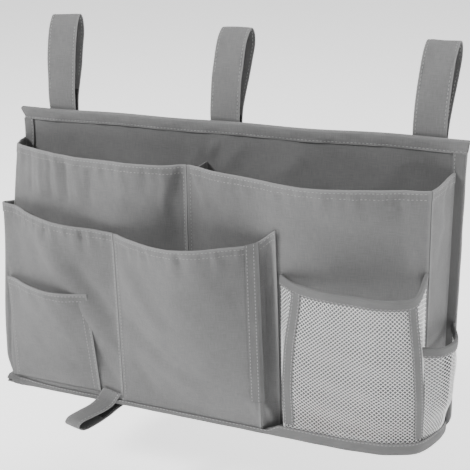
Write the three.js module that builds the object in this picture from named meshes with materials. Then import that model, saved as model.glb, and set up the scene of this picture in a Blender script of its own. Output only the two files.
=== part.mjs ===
// Bedside caddy: a stiffened cloth back panel that hangs from a rail by three looped straps.
// Two tall pockets stand on a shallow base against the panel, and in front of them are a wide
// pocket, a deep middle pocket, a flat pocket sewn on, a net pocket and a net side pocket.
// Millimetres, +Z up, front towards -Y. The origin is the middle of the panel's top edge, on
// its rear face, where the rail lies.

import * as THREE from "three";

// Cloth and tape
const cloth = { thickness: 1.2, hemDepth: 9, hemThickness: 2.4, hemStep: 0.6 };
const lining = { thickness: 1.0 };
const tape = { thickness: 0.9, width: 10 };
const clearance = 0.3;
const cornerGap = 0.25;

// Back panel: face cloth, stiffening board and lining, closed at the top by a folded band
const panel = { width: 480, height: 300, cornerRadius: 16 };
const board = { thickness: 2.4, margin: 6 };
const topBand = { height: 10.5, overhang: 1.5 };
const sideBinding = { width: 11 };

// Base: cloth floor with its own board, bound along the rim
const base = { depth: 74, leftRadius: 10, rightRadius: 55, boardThickness: 2.0 };
const rimBinding = { height: 12, underWidth: 8, bend: 2, slack: 0.05 };

// Tall pockets against the panel
const tall = { footDepth: 58, hemHeight: 268, leftReach: 66, rightReach: 87 };
const tallDivider = { place: -19, hemDepth: 51 };
const tallCorner = {
  leftPlace: -228,
  leftDepth: 31,
  rightPlace: 221,
  rightDepth: 58,
  rightFootDepth: 47,
};
const tallEnd = { leftPlace: -236, rightPlace: 231, rightHeight: 271 };

// Front wall: the wide pocket on the left and the deep middle pocket
const wide = {
  hemHeight: 195,
  leftHeight: 207,
  reach: 78,
  seamPlace: -94,
  cornerPlace: -240,
  cornerDepth: 52,
};
const middle = {
  hemHeight: 206,
  rightHeight: 221,
  reach: 120,
  cornerPlace: 64,
  cornerHemPlace: 62,
  cornerDepth: 79,
};
const cornerSeam = { footPlace: 80, hemPlace: 86, spread: 1.6 };
const middleTape = { width: 10, wrap: 4, startHeight: 31 };

// Flat pocket sewn on the wide pocket
const flat = { hemHeight: 125, leftPlace: -228, rightPlace: -129, footPlace: -121, swell: 9 };

// Net pocket and net side pocket
const net = { thickness: 0.8, strand: 1.5, columns: 9, rows: 11 };
const netPocket = {
  hemHeight: 175,
  rightHeight: 189,
  reach: 98,
  leftPlace: 90,
  leftHemPlace: 101,
  leftDepth: 87,
  rightPlace: 218.5,
  rightHemPlace: 216,
  rightDepth: 82,
};
const netTape = { width: 8, wrap: 1.5 };
const sidePocket = { hemHeight: 121, startHeight: 128, reach: 248, startGap: 2.6 };
const sideNet = { columns: 4, rows: 8 };
const gussetNet = { columns: 2, rows: 11 };

// Hanging straps
const strap = { width: 32, thickness: 1.6, tailLength: 55, seamGap: 0.3 };
const fastener = { thickness: 1.1, width: 30.5, length: 50, margin: 3 };
const hangers = [
  { name: "left", place: -190.5, rise: 96, setback: 33, hookRise: 21 },
  { name: "middle", place: -0.5, rise: 88, setback: 39, hookRise: 6 },
  { name: "right", place: 205, rise: 82.5, setback: 43, hookRise: 4 },
];

// Strap at the front edge, sewn over the rim's binding
const lowStrap = { place: -106.5, width: 21, startHeight: 15.5, reach: 40 };
const lowFastener = { width: 17, hookLength: 50, loopLength: 24 };

// Outlines, as shares of the sizes above. Each row of a hem is a share of the way along the
// pocket and a share of its reach; each row of a strap is a share of its rise and setback.
const leftTallHemShares = [
  [0.11, 0.62],
  [0.24, 0.79],
  [0.38, 0.9],
  [0.57, 0.97],
  [0.76, 1],
  [0.9, 0.94],
];
const rightTallLeftHemShares = [
  [0.27, 0.7],
  [0.6, 0.81],
];
const rightTallRightHemShares = [
  [0.2, 1],
  [0.38, 0.985],
  [0.6, 0.89],
  [0.83, 0.74],
];
const wideHemShares = [
  [0.13, 0.73],
  [0.3, 0.88],
  [0.48, 1],
  [0.66, 0.99],
  [0.85, 0.95],
];
const middleHemShares = [
  [0.08, 0.77],
  [0.22, 0.9],
  [0.37, 0.975],
  [0.51, 1],
  [0.66, 0.95],
  [0.82, 0.84],
];
const netHemShares = [
  [0.14, 0.95],
  [0.32, 0.99],
  [0.52, 1],
  [0.72, 1.01],
  [0.88, 0.96],
];
const frontLegShares = [
  [0.1, 0],
  [0.25, 0.04],
  [0.42, 0.13],
  [0.6, 0.27],
  [0.79, 0.47],
  [0.93, 0.72],
];
const rearLegShares = [
  [0.95, 1.16],
  [0.82, 1.2],
  [0.66, 1.03],
  [0.46, 0.76],
  [0.28, 0.5],
  [0.13, 0.31],
];
// Rows of the low strap: shares of its reach sideways, forwards and down from its start.
const lowSewnShares = [
  [0, 0, 0],
  [-0.125, 0, 0.19],
  [-0.23, 0.02, 0.37],
  [-0.34, 0.2, 0.51],
  [-0.52, 0.54, 0.59],
  [-0.69, 0.84, 0.71],
];
const lowFreeShares = [
  [-0.725, 0.905, 0.83],
  [-0.65, 0.81, 0.92],
  [-0.46, 0.46, 0.87],
  [-0.28, 0.12, 0.72],
  [-0.12, -0.18, 0.56],
];
const lowEndShares = [
  [0.05, -0.5],
  [0.25, -0.88],
];
const lowTurnShare = -0.245;
const lowTiltShare = -0.22;
const sideHemShares = [
  [0.12, 0.924, 0.28],
  [0.3, 0.96, 0.268],
  [0.5, 0.988, 0.224],
  [0.7, 1, 0.168],
];
const tallLeanShare = 0.15;
const frontLeanShare = 1.35;
const netLeanShare = 1.25;

// Colours
const finish = (color, roughness) =>
  new THREE.MeshStandardMaterial({ color, roughness, metalness: 0, side: THREE.DoubleSide });
const greyCloth = finish(0x9a9a9a, 0.9);
const paleCloth = finish(0xb2b2b2, 0.9);
const darkTape = finish(0x838383, 0.85);
const paleNet = finish(0xd9d9d9, 0.6);
const blackTape = finish(0x1d1d1d, 0.95);
const boardPlastic = finish(0x6f7276, 0.6);

const parts = new Map();

function add(name, geometry, material) {
  const mesh = new THREE.Mesh(geometry, material);
  mesh.name = name;
  parts.set(name, mesh);
}

// Even steps from 0 to 1, with both ends.
function steps(count) {
  return Array.from({ length: count + 1 }, (_, i) => i / count);
}

// A mesh of points and faces, turned so that its faces look outwards.
function indexed(points, faces) {
  const volume = faces.reduce((sum, [a, b, c]) =>
    sum + points[a].dot(points[b].clone().cross(points[c])), 0);
  const turned = volume < 0 ? faces.map(([a, b, c]) => [a, c, b]) : faces;
  const geometry = new THREE.BufferGeometry();
  const flatPoints = points.flatMap((p) => [p.x, p.y, p.z]);
  geometry.setAttribute("position", new THREE.Float32BufferAttribute(flatPoints, 3));
  geometry.setIndex(turned.flat());
  geometry.computeVertexNormals();
  return geometry;
}

// The outward direction of a surface (u to the right, v up), from points a little way apart.
const probe = 2;
const nudgeShare = 0.004;
function normalAt(surface, u, v) {
  const here = surface(u, v);
  const gapAcross = surface(u + nudgeShare, v).distanceTo(surface(u - nudgeShare, v));
  const gapUp = surface(u, v + nudgeShare).distanceTo(surface(u, v - nudgeShare));
  const du = (2 * nudgeShare * probe) / gapAcross;
  const dv = (2 * nudgeShare * probe) / gapUp;
  const right = surface(u + du, v).sub(here).normalize();
  const left = here.clone().sub(surface(u - du, v)).normalize();
  const above = surface(u, v + dv).sub(surface(u, v - dv));
  return right.add(left).cross(above).normalize();
}

// A surface moved outwards by a distance.
function raised(surface, distance) {
  return (u, v) => surface(u, v).addScaledVector(normalAt(surface, u, v), distance);
}

// A closed sheet whose middle is a surface, sampled at the shares us across and vs up.
function sheet(surface, us, vs, thicknessAt) {
  const front = [];
  const back = [];
  for (const v of vs) {
    for (const u of us) {
      const half = thicknessAt(u, v) / 2;
      const normal = normalAt(surface, u, v);
      front.push(surface(u, v).addScaledVector(normal, half));
      back.push(surface(u, v).addScaledVector(normal, -half));
    }
  }
  const columns = us.length - 1;
  const rows = vs.length - 1;
  const shift = front.length;
  const faces = [];
  const quad = (a, b, c, d) => faces.push([a, b, c], [a, c, d]);
  const at = (i, j) => j * us.length + i;
  for (let j = 0; j < rows; j++) {
    for (let i = 0; i < columns; i++) {
      const [a, b, c, d] = [at(i, j), at(i + 1, j), at(i + 1, j + 1), at(i, j + 1)];
      quad(a, b, c, d);
      quad(shift + d, shift + c, shift + b, shift + a);
    }
  }
  for (let i = 0; i < columns; i++) {
    const [a, b, c, d] = [at(i, 0), at(i + 1, 0), at(i, rows), at(i + 1, rows)];
    quad(b, a, shift + a, shift + b);
    quad(c, d, shift + d, shift + c);
  }
  for (let j = 0; j < rows; j++) {
    const [a, b, c, d] = [at(0, j), at(0, j + 1), at(columns, j), at(columns, j + 1)];
    quad(a, b, shift + b, shift + a);
    quad(d, c, shift + c, shift + d);
  }
  return indexed([...front, ...back], faces);
}

const even = (thickness) => () => thickness;

// A closed band: a section carried along stops, with each corner placed by place(stop, a, b).
function swept(section, stops, place) {
  const points = stops.flatMap((stop) => section.map(([a, b]) => place(stop, a, b)));
  const count = section.length;
  const faces = [];
  for (let j = 0; j < stops.length - 1; j++) {
    for (let i = 0; i < count; i++) {
      const next = (i + 1) % count;
      const [a, b] = [j * count + i, j * count + next];
      faces.push([a, b, b + count], [a, b + count, a + count]);
    }
  }
  const end = (stops.length - 1) * count;
  const outline = section.map(([a, b]) => new THREE.Vector2(a, b));
  const turn = THREE.ShapeUtils.isClockWise(outline) ? -1 : 1;
  for (const [a, b, c] of THREE.ShapeUtils.triangulateShape(outline, [])) {
    const near = turn > 0 ? [c, b, a] : [a, b, c];
    faces.push(near, near.map((k) => end + k).reverse());
  }
  return indexed(points, faces);
}

// Rows up a pocket wall that ends in a turned hem: the upright foot, then even rows, and last
// the step and the hem.
function hemRows(count, height) {
  const foot = (rimBinding.height + rimBinding.bend - floorTop) / height;
  const hem = 1 - cloth.hemDepth / height;
  const step = cloth.hemStep / height;
  return [0, ...steps(count).map((v) => foot + v * (hem - step - foot)), hem, 1];
}

function hemmed(height) {
  const hem = 1 - (cloth.hemDepth + cloth.hemStep / 2) / height;
  return (u, v) => (v > hem ? cloth.hemThickness : cloth.thickness);
}

// A diamond net on a surface. Knots stand at the corners and the middles of a grid of cells,
// slanting strands join them, and straight strands close the net along its four edges.
function netting(surface, columns, rows, strand, thickness) {
  const points = [];
  const faces = [];
  const half = thickness / 2;
  const side = (u, v) => surface(u + nudgeShare, v).distanceTo(surface(u, v)) / nudgeShare;
  const rise = (u, v) => surface(u, v + nudgeShare).distanceTo(surface(u, v)) / nudgeShare;
  const node = (u, v) => {
    const normal = normalAt(surface, u, v);
    points.push(surface(u, v).addScaledVector(normal, half));
    points.push(surface(u, v).addScaledVector(normal, -half));
    return points.length - 2;
  };
  const top = (...loop) => {
    for (let i = 1; i < loop.length - 1; i++) {
      faces.push([loop[0], loop[i], loop[i + 1]]);
      faces.push([loop[0] + 1, loop[i + 1] + 1, loop[i] + 1]);
    }
  };
  const wall = (a, b) => faces.push([b, a, a + 1], [b, a + 1, b + 1]);
  const cellU = 1 / columns;
  const cellV = 1 / rows;
  const knots = new Map();
  const knot = (i, j) => {
    const key = `${i},${j}`;
    if (!knots.has(key)) {
      const u = (i / 2) * cellU;
      const v = (j / 2) * cellV;
      const du = strand / side(u, v);
      const dv = strand / rise(u, v);
      knots.set(key, {
        east: i < 2 * columns ? node(u + du, v) : null,
        west: i > 0 ? node(u - du, v) : null,
        north: j < 2 * rows ? node(u, v + dv) : null,
        south: j > 0 ? node(u, v - dv) : null,
      });
    }
    return knots.get(key);
  };
  // Edge knots have a square of border cloth behind their open side.
  const rim = new Map();
  const rimNode = (i, j, di, dj) => {
    const key = `${i},${j},${di},${dj}`;
    if (!rim.has(key)) {
      const u = (i / 2) * cellU;
      const v = (j / 2) * cellV;
      const du = (strand / side(u, v)) * di;
      const dv = (strand / rise(u, v)) * dj;
      rim.set(key, node(u + du, v + dv));
    }
    return rim.get(key);
  };
  for (let j = 0; j < rows; j++) {
    for (let i = 0; i < columns; i++) {
      const centre = knot(2 * i + 1, 2 * j + 1);
      const [sw, se] = [knot(2 * i, 2 * j), knot(2 * i + 2, 2 * j)];
      const [nw, ne] = [knot(2 * i, 2 * j + 2), knot(2 * i + 2, 2 * j + 2)];
      top(centre.south, centre.east, centre.north, centre.west);
      top(sw.east, centre.south, centre.west, sw.north);
      top(se.north, centre.east, centre.south, se.west);
      top(ne.west, centre.north, centre.east, ne.south);
      top(nw.south, centre.west, centre.north, nw.east);
      wall(sw.east, centre.south);
      wall(centre.west, sw.north);
      wall(se.north, centre.east);
      wall(centre.south, se.west);
      wall(ne.west, centre.north);
      wall(centre.east, ne.south);
      wall(nw.south, centre.west);
      wall(centre.north, nw.east);
    }
  }
  for (let j = 1; j < rows; j++) {
    for (let i = 1; i < columns; i++) {
      const k = knot(2 * i, 2 * j);
      top(k.south, k.east, k.north, k.west);
    }
  }
  // Border strands: an outer line and an inner line, joined to the edge knots between. Along
  // the foot and the top they bend with the wall between the knots too.
  const edge = (count, knotAt, inner, first, second, outer, bend) => {
    for (let i = 0; i <= count; i++) {
      const k = knotAt(i);
      const isFirst = i === 0;
      const isLast = i === count;
      const here = outer(i);
      const before = isFirst ? null : k[first];
      const after = isLast ? null : k[second];
      if (before !== null && after !== null) {
        top(outer(i), after, k[inner], before);
      }
      if (!isLast) {
        const next = knotAt(i + 1);
        const mid = bend ? bend(i) : null;
        const outerLine = mid ? [here, outer(i + 0.5), outer(i + 1)] : [here, outer(i + 1)];
        const innerLine = mid ? [k[second], mid, next[first]] : [k[second], next[first]];
        for (let n = 1; n < outerLine.length; n++) {
          top(outerLine[n - 1], outerLine[n], innerLine[n], innerLine[n - 1]);
          wall(outerLine[n - 1], outerLine[n]);
          wall(innerLine[n], innerLine[n - 1]);
        }
      }
    }
  };
  const last = (n) => 2 * n;
  edge(
    columns,
    (i) => knot(2 * i, 0),
    "north",
    "west",
    "east",
    (i) => rimNode(2 * i, 0, 0, -1),
    (i) => node((i + 0.5) * cellU, 0),
  );
  edge(
    columns,
    (i) => knot(last(columns) - 2 * i, last(rows)),
    "south",
    "east",
    "west",
    (i) => rimNode(last(columns) - 2 * i, last(rows), 0, 1),
    (i) => node((columns - i - 0.5) * cellU, 1),
  );
  edge(
    rows,
    (j) => knot(last(columns), 2 * j),
    "west",
    "south",
    "north",
    (j) => rimNode(last(columns), 2 * j, 1, 0),
  );
  edge(
    rows,
    (j) => knot(0, last(rows) - 2 * j),
    "east",
    "north",
    "south",
    (j) => rimNode(0, last(rows) - 2 * j, -1, 0),
  );
  // The four corners, each a fan from the border lines to the corner knot.
  const corners = [
    [0, 0, "east", "north", [0, -1], [-1, 0]],
    [last(columns), 0, "north", "west", [1, 0], [0, -1]],
    [last(columns), last(rows), "west", "south", [0, 1], [1, 0]],
    [0, last(rows), "south", "east", [-1, 0], [0, 1]],
  ];
  for (const [i, j, one, two, a, b] of corners) {
    const k = knot(i, j);
    const from = rimNode(i, j, ...a);
    const to = rimNode(i, j, ...b);
    top(to, from, k[one], k[two]);
    wall(to, from);
  }
  return indexed(points, faces);
}

const mix = (a, b, f) => a + (b - a) * f;
const mix2 = (a, b, f) => new THREE.Vector2(mix(a.x, b.x, f), mix(a.y, b.y, f));

// The layers of the back panel, from its rear face forwards.
const boardRear = lining.thickness + clearance;
const clothRear = boardRear + board.thickness + clearance;
const panelFace = clothRear + cloth.thickness;
const bandFace = panelFace + clearance + tape.thickness;
const endDepth = bandFace + clearance;
const bandRear = clearance + tape.thickness;
const bandBottom = panel.height - topBand.height - clearance;

// The base's rim: the line on which the outer walls stand, from the panel round the left side,
// the front and the right corner back to the panel.
const rimHalf = panel.width / 2 - cloth.thickness - clearance;
const rim = new THREE.Path();
rim.moveTo(-rimHalf, -endDepth);
rim.lineTo(-rimHalf, -base.depth + base.leftRadius);
rim.absarc(-rimHalf + base.leftRadius, -base.depth + base.leftRadius, base.leftRadius,
  Math.PI, 1.5 * Math.PI, false);
rim.lineTo(rimHalf - base.rightRadius, -base.depth);
rim.absarc(rimHalf - base.rightRadius, -base.depth + base.rightRadius, base.rightRadius,
  1.5 * Math.PI, 2 * Math.PI, false);
rim.lineTo(rimHalf, -endDepth);
const rimLength = rim.getLength();
const rimLeft = base.depth - base.leftRadius - endDepth;
const rimFront = rimLeft + (base.leftRadius * Math.PI) / 2;
const rimRight = rimFront + 2 * rimHalf - base.leftRadius - base.rightRadius;
const rimArc = (base.rightRadius * Math.PI) / 2;

// Distances along the rim: of a depth on the left side, and of a place along the front, which
// goes on round the right corner.
const rimAtDepth = (depth) => depth - endDepth;
const rimAtPlace = (place) => {
  const past = (place - rimHalf + base.rightRadius) / base.rightRadius;
  return past > 0
    ? rimRight + base.rightRadius * Math.asin(Math.min(past, 1))
    : rimFront + place + rimHalf - base.leftRadius;
};
const rimPoint = (distance) => rim.getPointAt(THREE.MathUtils.clamp(distance / rimLength, 0, 1));
const rimOutward = (distance) => {
  const along = rim.getTangentAt(THREE.MathUtils.clamp(distance / rimLength, 0, 1));
  return new THREE.Vector2(along.y, -along.x);
};
const rimStops = [
  ...steps(2).map((s) => s * rimLeft),
  ...steps(4).slice(1).map((s) => mix(rimLeft, rimFront, s)),
  ...steps(8).slice(1).map((s) => mix(rimFront, rimRight, s)),
  ...steps(8).slice(1).map((s) => mix(rimRight, rimRight + rimArc, s)),
  rimLength,
];

const floorTop = cloth.thickness + base.boardThickness + 2 * clearance;

// A run of pocket wall. Its stations each hold a foot, which is a distance along the rim or a
// point of the floor, and a hem point above it. The wall stands upright as high as the rim's
// binding, and then leans out to the hem. Its ends can follow another wall.
class Wall {
  constructor(stations, { leanShare, startOn, endOn }) {
    this.stations = stations;
    this.hem = new THREE.CatmullRomCurve3(stations.map((s) => s.hem), false, "centripetal");
    this.leanShare = leanShare;
    this.startOn = startOn;
    this.endOn = endOn;
    this.rows = new Map();
    this.samples = 14;
  }

  footPoint(t) {
    const last = this.stations.length - 1;
    const i = Math.min(Math.floor(t), last - 1);
    const [a, b] = [this.stations[i], this.stations[i + 1]];
    if (a.rim !== undefined && b.rim !== undefined) {
      return rimPoint(mix(a.rim, b.rim, t - i));
    }
    const place = (s) => (s.rim !== undefined ? rimPoint(s.rim) : s.foot);
    return mix2(place(a), place(b), t - i);
  }

  point(t, v) {
    const last = this.stations.length - 1;
    const along = THREE.MathUtils.clamp(t, 0, last);
    const hem = this.hem.getPoint(along / last);
    const z = mix(floorTop, hem.z, v);
    const upright = rimBinding.height + rimBinding.bend;
    const share = THREE.MathUtils.clamp((z - upright) / (hem.z - upright), 0, v > 1 ? v : 1);
    const lean = share * mix(this.leanShare, 1, share);
    const plan = mix2(this.footPoint(along), hem, lean);
    if (this.startOn && along < 1) {
      const drawn = mix2(this.footPoint(0), this.hem.getPoint(0), lean);
      plan.addScaledVector(this.startOn(z).sub(drawn), 1 - along);
    }
    if (this.endOn && along > last - 1) {
      const drawn = mix2(this.footPoint(last), this.hem.getPoint(1), lean);
      plan.addScaledVector(this.endOn(z).sub(drawn), along - last + 1);
    }
    return new THREE.Vector3(plan.x, plan.y, z);
  }

  // The wall's line at one height: its points, and the distance to each from the start.
  row(v) {
    const key = v.toFixed(5);
    if (!this.rows.has(key)) {
      const count = (this.stations.length - 1) * this.samples;
      const points = steps(count).map((s) => this.point(s * (this.stations.length - 1), v));
      const lengths = [0];
      for (let i = 1; i <= count; i++) {
        lengths.push(lengths[i - 1] + points[i].distanceTo(points[i - 1]));
      }
      this.rows.set(key, { points, lengths });
    }
    return this.rows.get(key);
  }

  along(v, distance) {
    const { points, lengths } = this.row(v);
    const last = points.length - 1;
    let i = lengths.findIndex((length) => length > distance) - 1;
    i = i < 0 ? (distance < 0 ? 0 : last - 1) : i;
    const f = (distance - lengths[i]) / (lengths[i + 1] - lengths[i]);
    return points[i].clone().lerp(points[i + 1], f);
  }

  // The patch from one station to another, each end moved inwards by a distance.
  patch(from, fromShift, to, toShift) {
    return (u, v) => {
      const { lengths } = this.row(v);
      const start = lengths[from * this.samples] + fromShift;
      const end = lengths[to * this.samples] - toShift;
      return this.along(v, mix(start, end, u));
    };
  }

  // The share of a station's height that lies at a height above the floor.
  shareAt(station, z) {
    return (z - floorTop) / (this.stations[station].hem.z - floorTop);
  }

  // The plan point on the wall's outside at a station and a height, standing off by a distance.
  outside(station, shift, z, standOff) {
    const v = this.shareAt(station, z);
    const at = (move) => this.along(v, this.row(v).lengths[station * this.samples] + move);
    const here = at(shift);
    const ahead = at(shift + tape.width / 2).sub(at(shift - tape.width / 2));
    const outward = new THREE.Vector2(ahead.y, -ahead.x).normalize();
    return new THREE.Vector2(here.x, here.y).addScaledVector(outward, standOff);
  }

  // The point of a patch of the wall at a place across and a height.
  pointAt(from, to, x, z) {
    let v = this.shareAt(from, z);
    let point = null;
    for (let pass = 0; pass < 4; pass++) {
      const row = this.row(v).points.slice(from * this.samples, to * this.samples + 1);
      const after = Math.max(row.findIndex((p) => p.x > x), 1);
      const [a, b] = [row[after - 1], row[after]];
      point = a.clone().lerp(b, (x - a.x) / (b.x - a.x));
      v *= (z - floorTop) / Math.max(point.z - floorTop, clearance);
    }
    return point;
  }
}

const hemPoint = (x, depth, z) => new THREE.Vector3(x, -depth, z);
const footPoint = (x, depth) => new THREE.Vector2(x, -depth);
const raisedTo = (plan, z) => new THREE.Vector3(plan.x, plan.y, z);

// Hem points between two places, from rows of shares along and shares of the reach.
function hemRun(rows, from, to, reach, fromZ, toZ) {
  return rows.map(([along, share]) =>
    hemPoint(mix(from, to, along), reach * share, mix(fromZ, toZ, along)));
}

// Stations whose feet are spread evenly between two feet.
function spread(hems, from, to, make) {
  return hems.map((hem, i) => ({ hem, ...make(mix(from, to, (i + 1) / (hems.length + 1))) }));
}

// Tall pockets
const tallFoot = (x) => ({ foot: footPoint(x, tall.footDepth) });
const seamShare = 0.955;
const tallLeftHems = hemRun(leftTallHemShares, tallEnd.leftPlace, tallDivider.place,
  tall.leftReach, tall.hemHeight, tall.hemHeight);
const tallMiddleHems = hemRun(rightTallLeftHemShares, tallDivider.place, cornerSeam.hemPlace,
  tall.rightReach, tall.hemHeight, tall.hemHeight);
const tallRightHems = hemRun(rightTallRightHemShares, cornerSeam.hemPlace,
  tallCorner.rightPlace, tall.rightReach, tall.hemHeight, tall.hemHeight);
const tallWall = new Wall([
  {
    rim: rimAtDepth(endDepth),
    hem: hemPoint(tallEnd.leftPlace, endDepth, tall.hemHeight),
  },
  {
    rim: rimAtDepth(tall.footDepth),
    hem: hemPoint(tallCorner.leftPlace, tallCorner.leftDepth, tall.hemHeight),
  },
  ...spread(tallLeftHems, -rimHalf, tallDivider.place, tallFoot),
  {
    ...tallFoot(tallDivider.place),
    hem: hemPoint(tallDivider.place, tallDivider.hemDepth, tall.hemHeight),
  },
  ...spread(tallMiddleHems, tallDivider.place, cornerSeam.footPlace, tallFoot),
  {
    ...tallFoot(cornerSeam.footPlace),
    hem: hemPoint(cornerSeam.hemPlace, tall.rightReach * seamShare, tall.hemHeight),
  },
  ...spread(tallRightHems, cornerSeam.footPlace, tallCorner.rightPlace, (x) => ({
    foot: footPoint(x, mix(tall.footDepth, tallCorner.rightFootDepth,
      (x - cornerSeam.footPlace) / (tallCorner.rightPlace - cornerSeam.footPlace))),
  })),
  {
    foot: footPoint(tallCorner.rightPlace, tallCorner.rightFootDepth),
    hem: hemPoint(tallCorner.rightPlace, tallCorner.rightDepth, tall.hemHeight),
  },
  {
    foot: footPoint(tallEnd.rightPlace, endDepth),
    hem: hemPoint(tallEnd.rightPlace, endDepth, tallEnd.rightHeight),
  },
], { leanShare: tallLeanShare });
const tallStation = { leftCorner: 1, divider: 2 + tallLeftHems.length };
tallStation.seam = tallStation.divider + tallMiddleHems.length + 1;
tallStation.rightCorner = tallStation.seam + tallRightHems.length + 1;
tallStation.end = tallStation.rightCorner + 1;

const tallRows = hemRows(7, tall.hemHeight);
const tallCloth = hemmed(tall.hemHeight);
add("tall_pocket_left_gusset",
  sheet(tallWall.patch(0, cornerGap, tallStation.leftCorner, cornerGap), steps(3), tallRows, tallCloth),
  greyCloth);
add("tall_pocket_left_front",
  sheet(tallWall.patch(tallStation.leftCorner, cornerGap, tallStation.divider, cornerGap), steps(18),
    tallRows, tallCloth),
  greyCloth);
add("tall_pocket_right_front",
  sheet(tallWall.patch(tallStation.divider, cornerGap, tallStation.rightCorner, cornerGap), steps(20),
    tallRows, tallCloth),
  greyCloth);
add("tall_pocket_right_gusset",
  sheet(tallWall.patch(tallStation.rightCorner, cornerGap, tallStation.end, cornerGap), steps(4), tallRows,
    tallCloth),
  paleCloth);

// A partition from a depth behind it to the inside of a wall's seam.
function partition(wall, station, rearAt, height) {
  return (u, v) => {
    const z = mix(floorTop, height, v);
    const front = wall.outside(station, 0, z, -(cloth.hemThickness / 2 + clearance));
    return raisedTo(mix2(rearAt(z), front, u), z);
  };
}
add("tall_pocket_divider",
  sheet(partition(tallWall, tallStation.divider,
    () => footPoint(tallDivider.place, panelFace + clearance), tall.hemHeight - cloth.hemDepth),
  steps(3), steps(6), even(cloth.thickness)),
  greyCloth);

// Front wall: wide pocket, seam, deep middle pocket and its side
const standOff = (cloth.thickness + cloth.hemThickness) / 2 + clearance;
const wideHems = hemRun(wideHemShares, wide.cornerPlace, wide.seamPlace, wide.reach,
  wide.leftHeight, wide.hemHeight);
const middleHems = hemRun(middleHemShares, wide.seamPlace, middle.cornerHemPlace, middle.reach,
  wide.hemHeight, middle.hemHeight);
const rimStation = (distance) => ({ rim: distance });
const wideCornerFoot = rimLeft + (base.leftRadius * Math.PI) / 4;
const frontStart = (z) =>
  tallWall.outside(tallStation.leftCorner, 0, z, 0).sub(new THREE.Vector2(0, standOff));
const frontEnd = (z) => tallWall.outside(tallStation.seam, -cornerSeam.spread, z, standOff);
const frontWall = new Wall([
  {
    rim: rimAtDepth(tall.footDepth) + standOff,
    hem: raisedTo(frontStart(wide.leftHeight), wide.leftHeight),
  },
  {
    rim: wideCornerFoot,
    hem: hemPoint(wide.cornerPlace, wide.cornerDepth, wide.leftHeight),
  },
  ...spread(wideHems, wideCornerFoot, rimAtPlace(wide.seamPlace), rimStation),
  {
    rim: rimAtPlace(wide.seamPlace),
    hem: hemPoint(wide.seamPlace, wide.reach * seamShare, wide.hemHeight),
  },
  ...spread(middleHems, rimAtPlace(wide.seamPlace), rimAtPlace(middle.cornerPlace), rimStation),
  {
    rim: rimAtPlace(middle.cornerPlace),
    hem: hemPoint(middle.cornerHemPlace, middle.cornerDepth, middle.hemHeight),
  },
  {
    foot: frontEnd(floorTop),
    hem: raisedTo(frontEnd(middle.rightHeight), middle.rightHeight),
  },
], { leanShare: frontLeanShare, startOn: frontStart, endOn: frontEnd });
const frontStation = { corner: 1, seam: 2 + wideHems.length };
frontStation.right = frontStation.seam + middleHems.length + 1;
frontStation.end = frontStation.right + 1;
const frontRows = hemRows(7, middle.hemHeight);
const frontCloth = hemmed(middle.hemHeight);
add("wide_pocket_gusset",
  sheet(frontWall.patch(0, 0, frontStation.corner, cornerGap), steps(3), frontRows, frontCloth),
  greyCloth);
add("wide_pocket_front",
  sheet(frontWall.patch(frontStation.corner, cornerGap, frontStation.seam, cornerGap), steps(14),
    frontRows, frontCloth),
  greyCloth);
add("middle_pocket_front",
  sheet(frontWall.patch(frontStation.seam, cornerGap, frontStation.right, cornerGap), steps(18),
    frontRows, frontCloth),
  greyCloth);
add("middle_pocket_side",
  sheet(frontWall.patch(frontStation.right, cornerGap, frontStation.end, 0), steps(4), frontRows,
    frontCloth),
  greyCloth);
add("front_pocket_divider",
  sheet(partition(frontWall, frontStation.seam, (z) => {
    const behind = tallWall.pointAt(tallStation.leftCorner, tallStation.divider,
      wide.seamPlace, z);
    return footPoint(wide.seamPlace, standOff - behind.y);
  }, wide.hemHeight - cloth.hemDepth), steps(2), steps(5), even(cloth.thickness)),
  greyCloth);

// Upright tape over a pocket's corner, between two heights.
const tapeFoot = rimBinding.height + clearance;
function cornerTape(wall, station, before, after, start, height, under) {
  const foot = wall.shareAt(station, start);
  const top = wall.shareAt(station, height);
  const fold = before / (before + after);
  const surface = wall.patch(station, -before, station, -after);
  const lifted = (u, v) => {
    const share = mix(foot, top, v);
    return raised(surface, under(share) / 2 + 2 * clearance + tape.thickness / 2)(u, share);
  };
  const across = [0, fold / 2, fold, (1 + fold) / 2, 1];
  return sheet(lifted, across, steps(8), even(tape.thickness));
}
const hemStart = frontWall.shareAt(frontStation.right, middle.hemHeight - cloth.hemDepth * 2);
add("middle_pocket_corner_tape",
  cornerTape(frontWall, frontStation.right, middleTape.width, middleTape.wrap,
    middleTape.startHeight, middle.hemHeight,
    (v) => (v > hemStart ? cloth.hemThickness : cloth.thickness)),
  darkTape);

// Flat pocket on the wide pocket, sewn on along its sides and foot
const flatBase = (u, v) => {
  const z = mix(tapeFoot, flat.hemHeight, v);
  const x = mix(flat.leftPlace, mix(flat.footPlace, flat.rightPlace, v), u);
  return frontWall.pointAt(frontStation.corner, frontStation.seam, x, z);
};
const flatSurface = (u, v) => {
  const open = Math.sqrt(THREE.MathUtils.clamp(v, 0, 1));
  const gape = flat.swell * open * Math.sin(Math.PI * THREE.MathUtils.clamp(u, 0, 1));
  return raised(flatBase, standOff + gape)(u, v);
};
add("flat_pocket",
  sheet(flatSurface, steps(10), hemRows(6, flat.hemHeight).filter((v, i) => i !== 1),
    hemmed(flat.hemHeight)),
  greyCloth);

// A band along a wall's top edge, folded over it. Its section is a U with the net inside.
function edgeTape(surface, us, height) {
  const inner = net.thickness / 2 + 2 * cornerGap;
  const outer = inner + tape.thickness;
  const lid = tape.thickness;
  const section = [
    [-outer, tape.width], [-outer, 0], [outer, 0], [outer, tape.width],
    [inner, tape.width], [inner, lid], [-inner, lid], [-inner, tape.width],
  ];
  return swept(section, us, (u, out, down) => {
    const v = 1 - down / height;
    return surface(u, v).addScaledVector(normalAt(surface, u, 1 - tape.width / height), out);
  });
}

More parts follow.
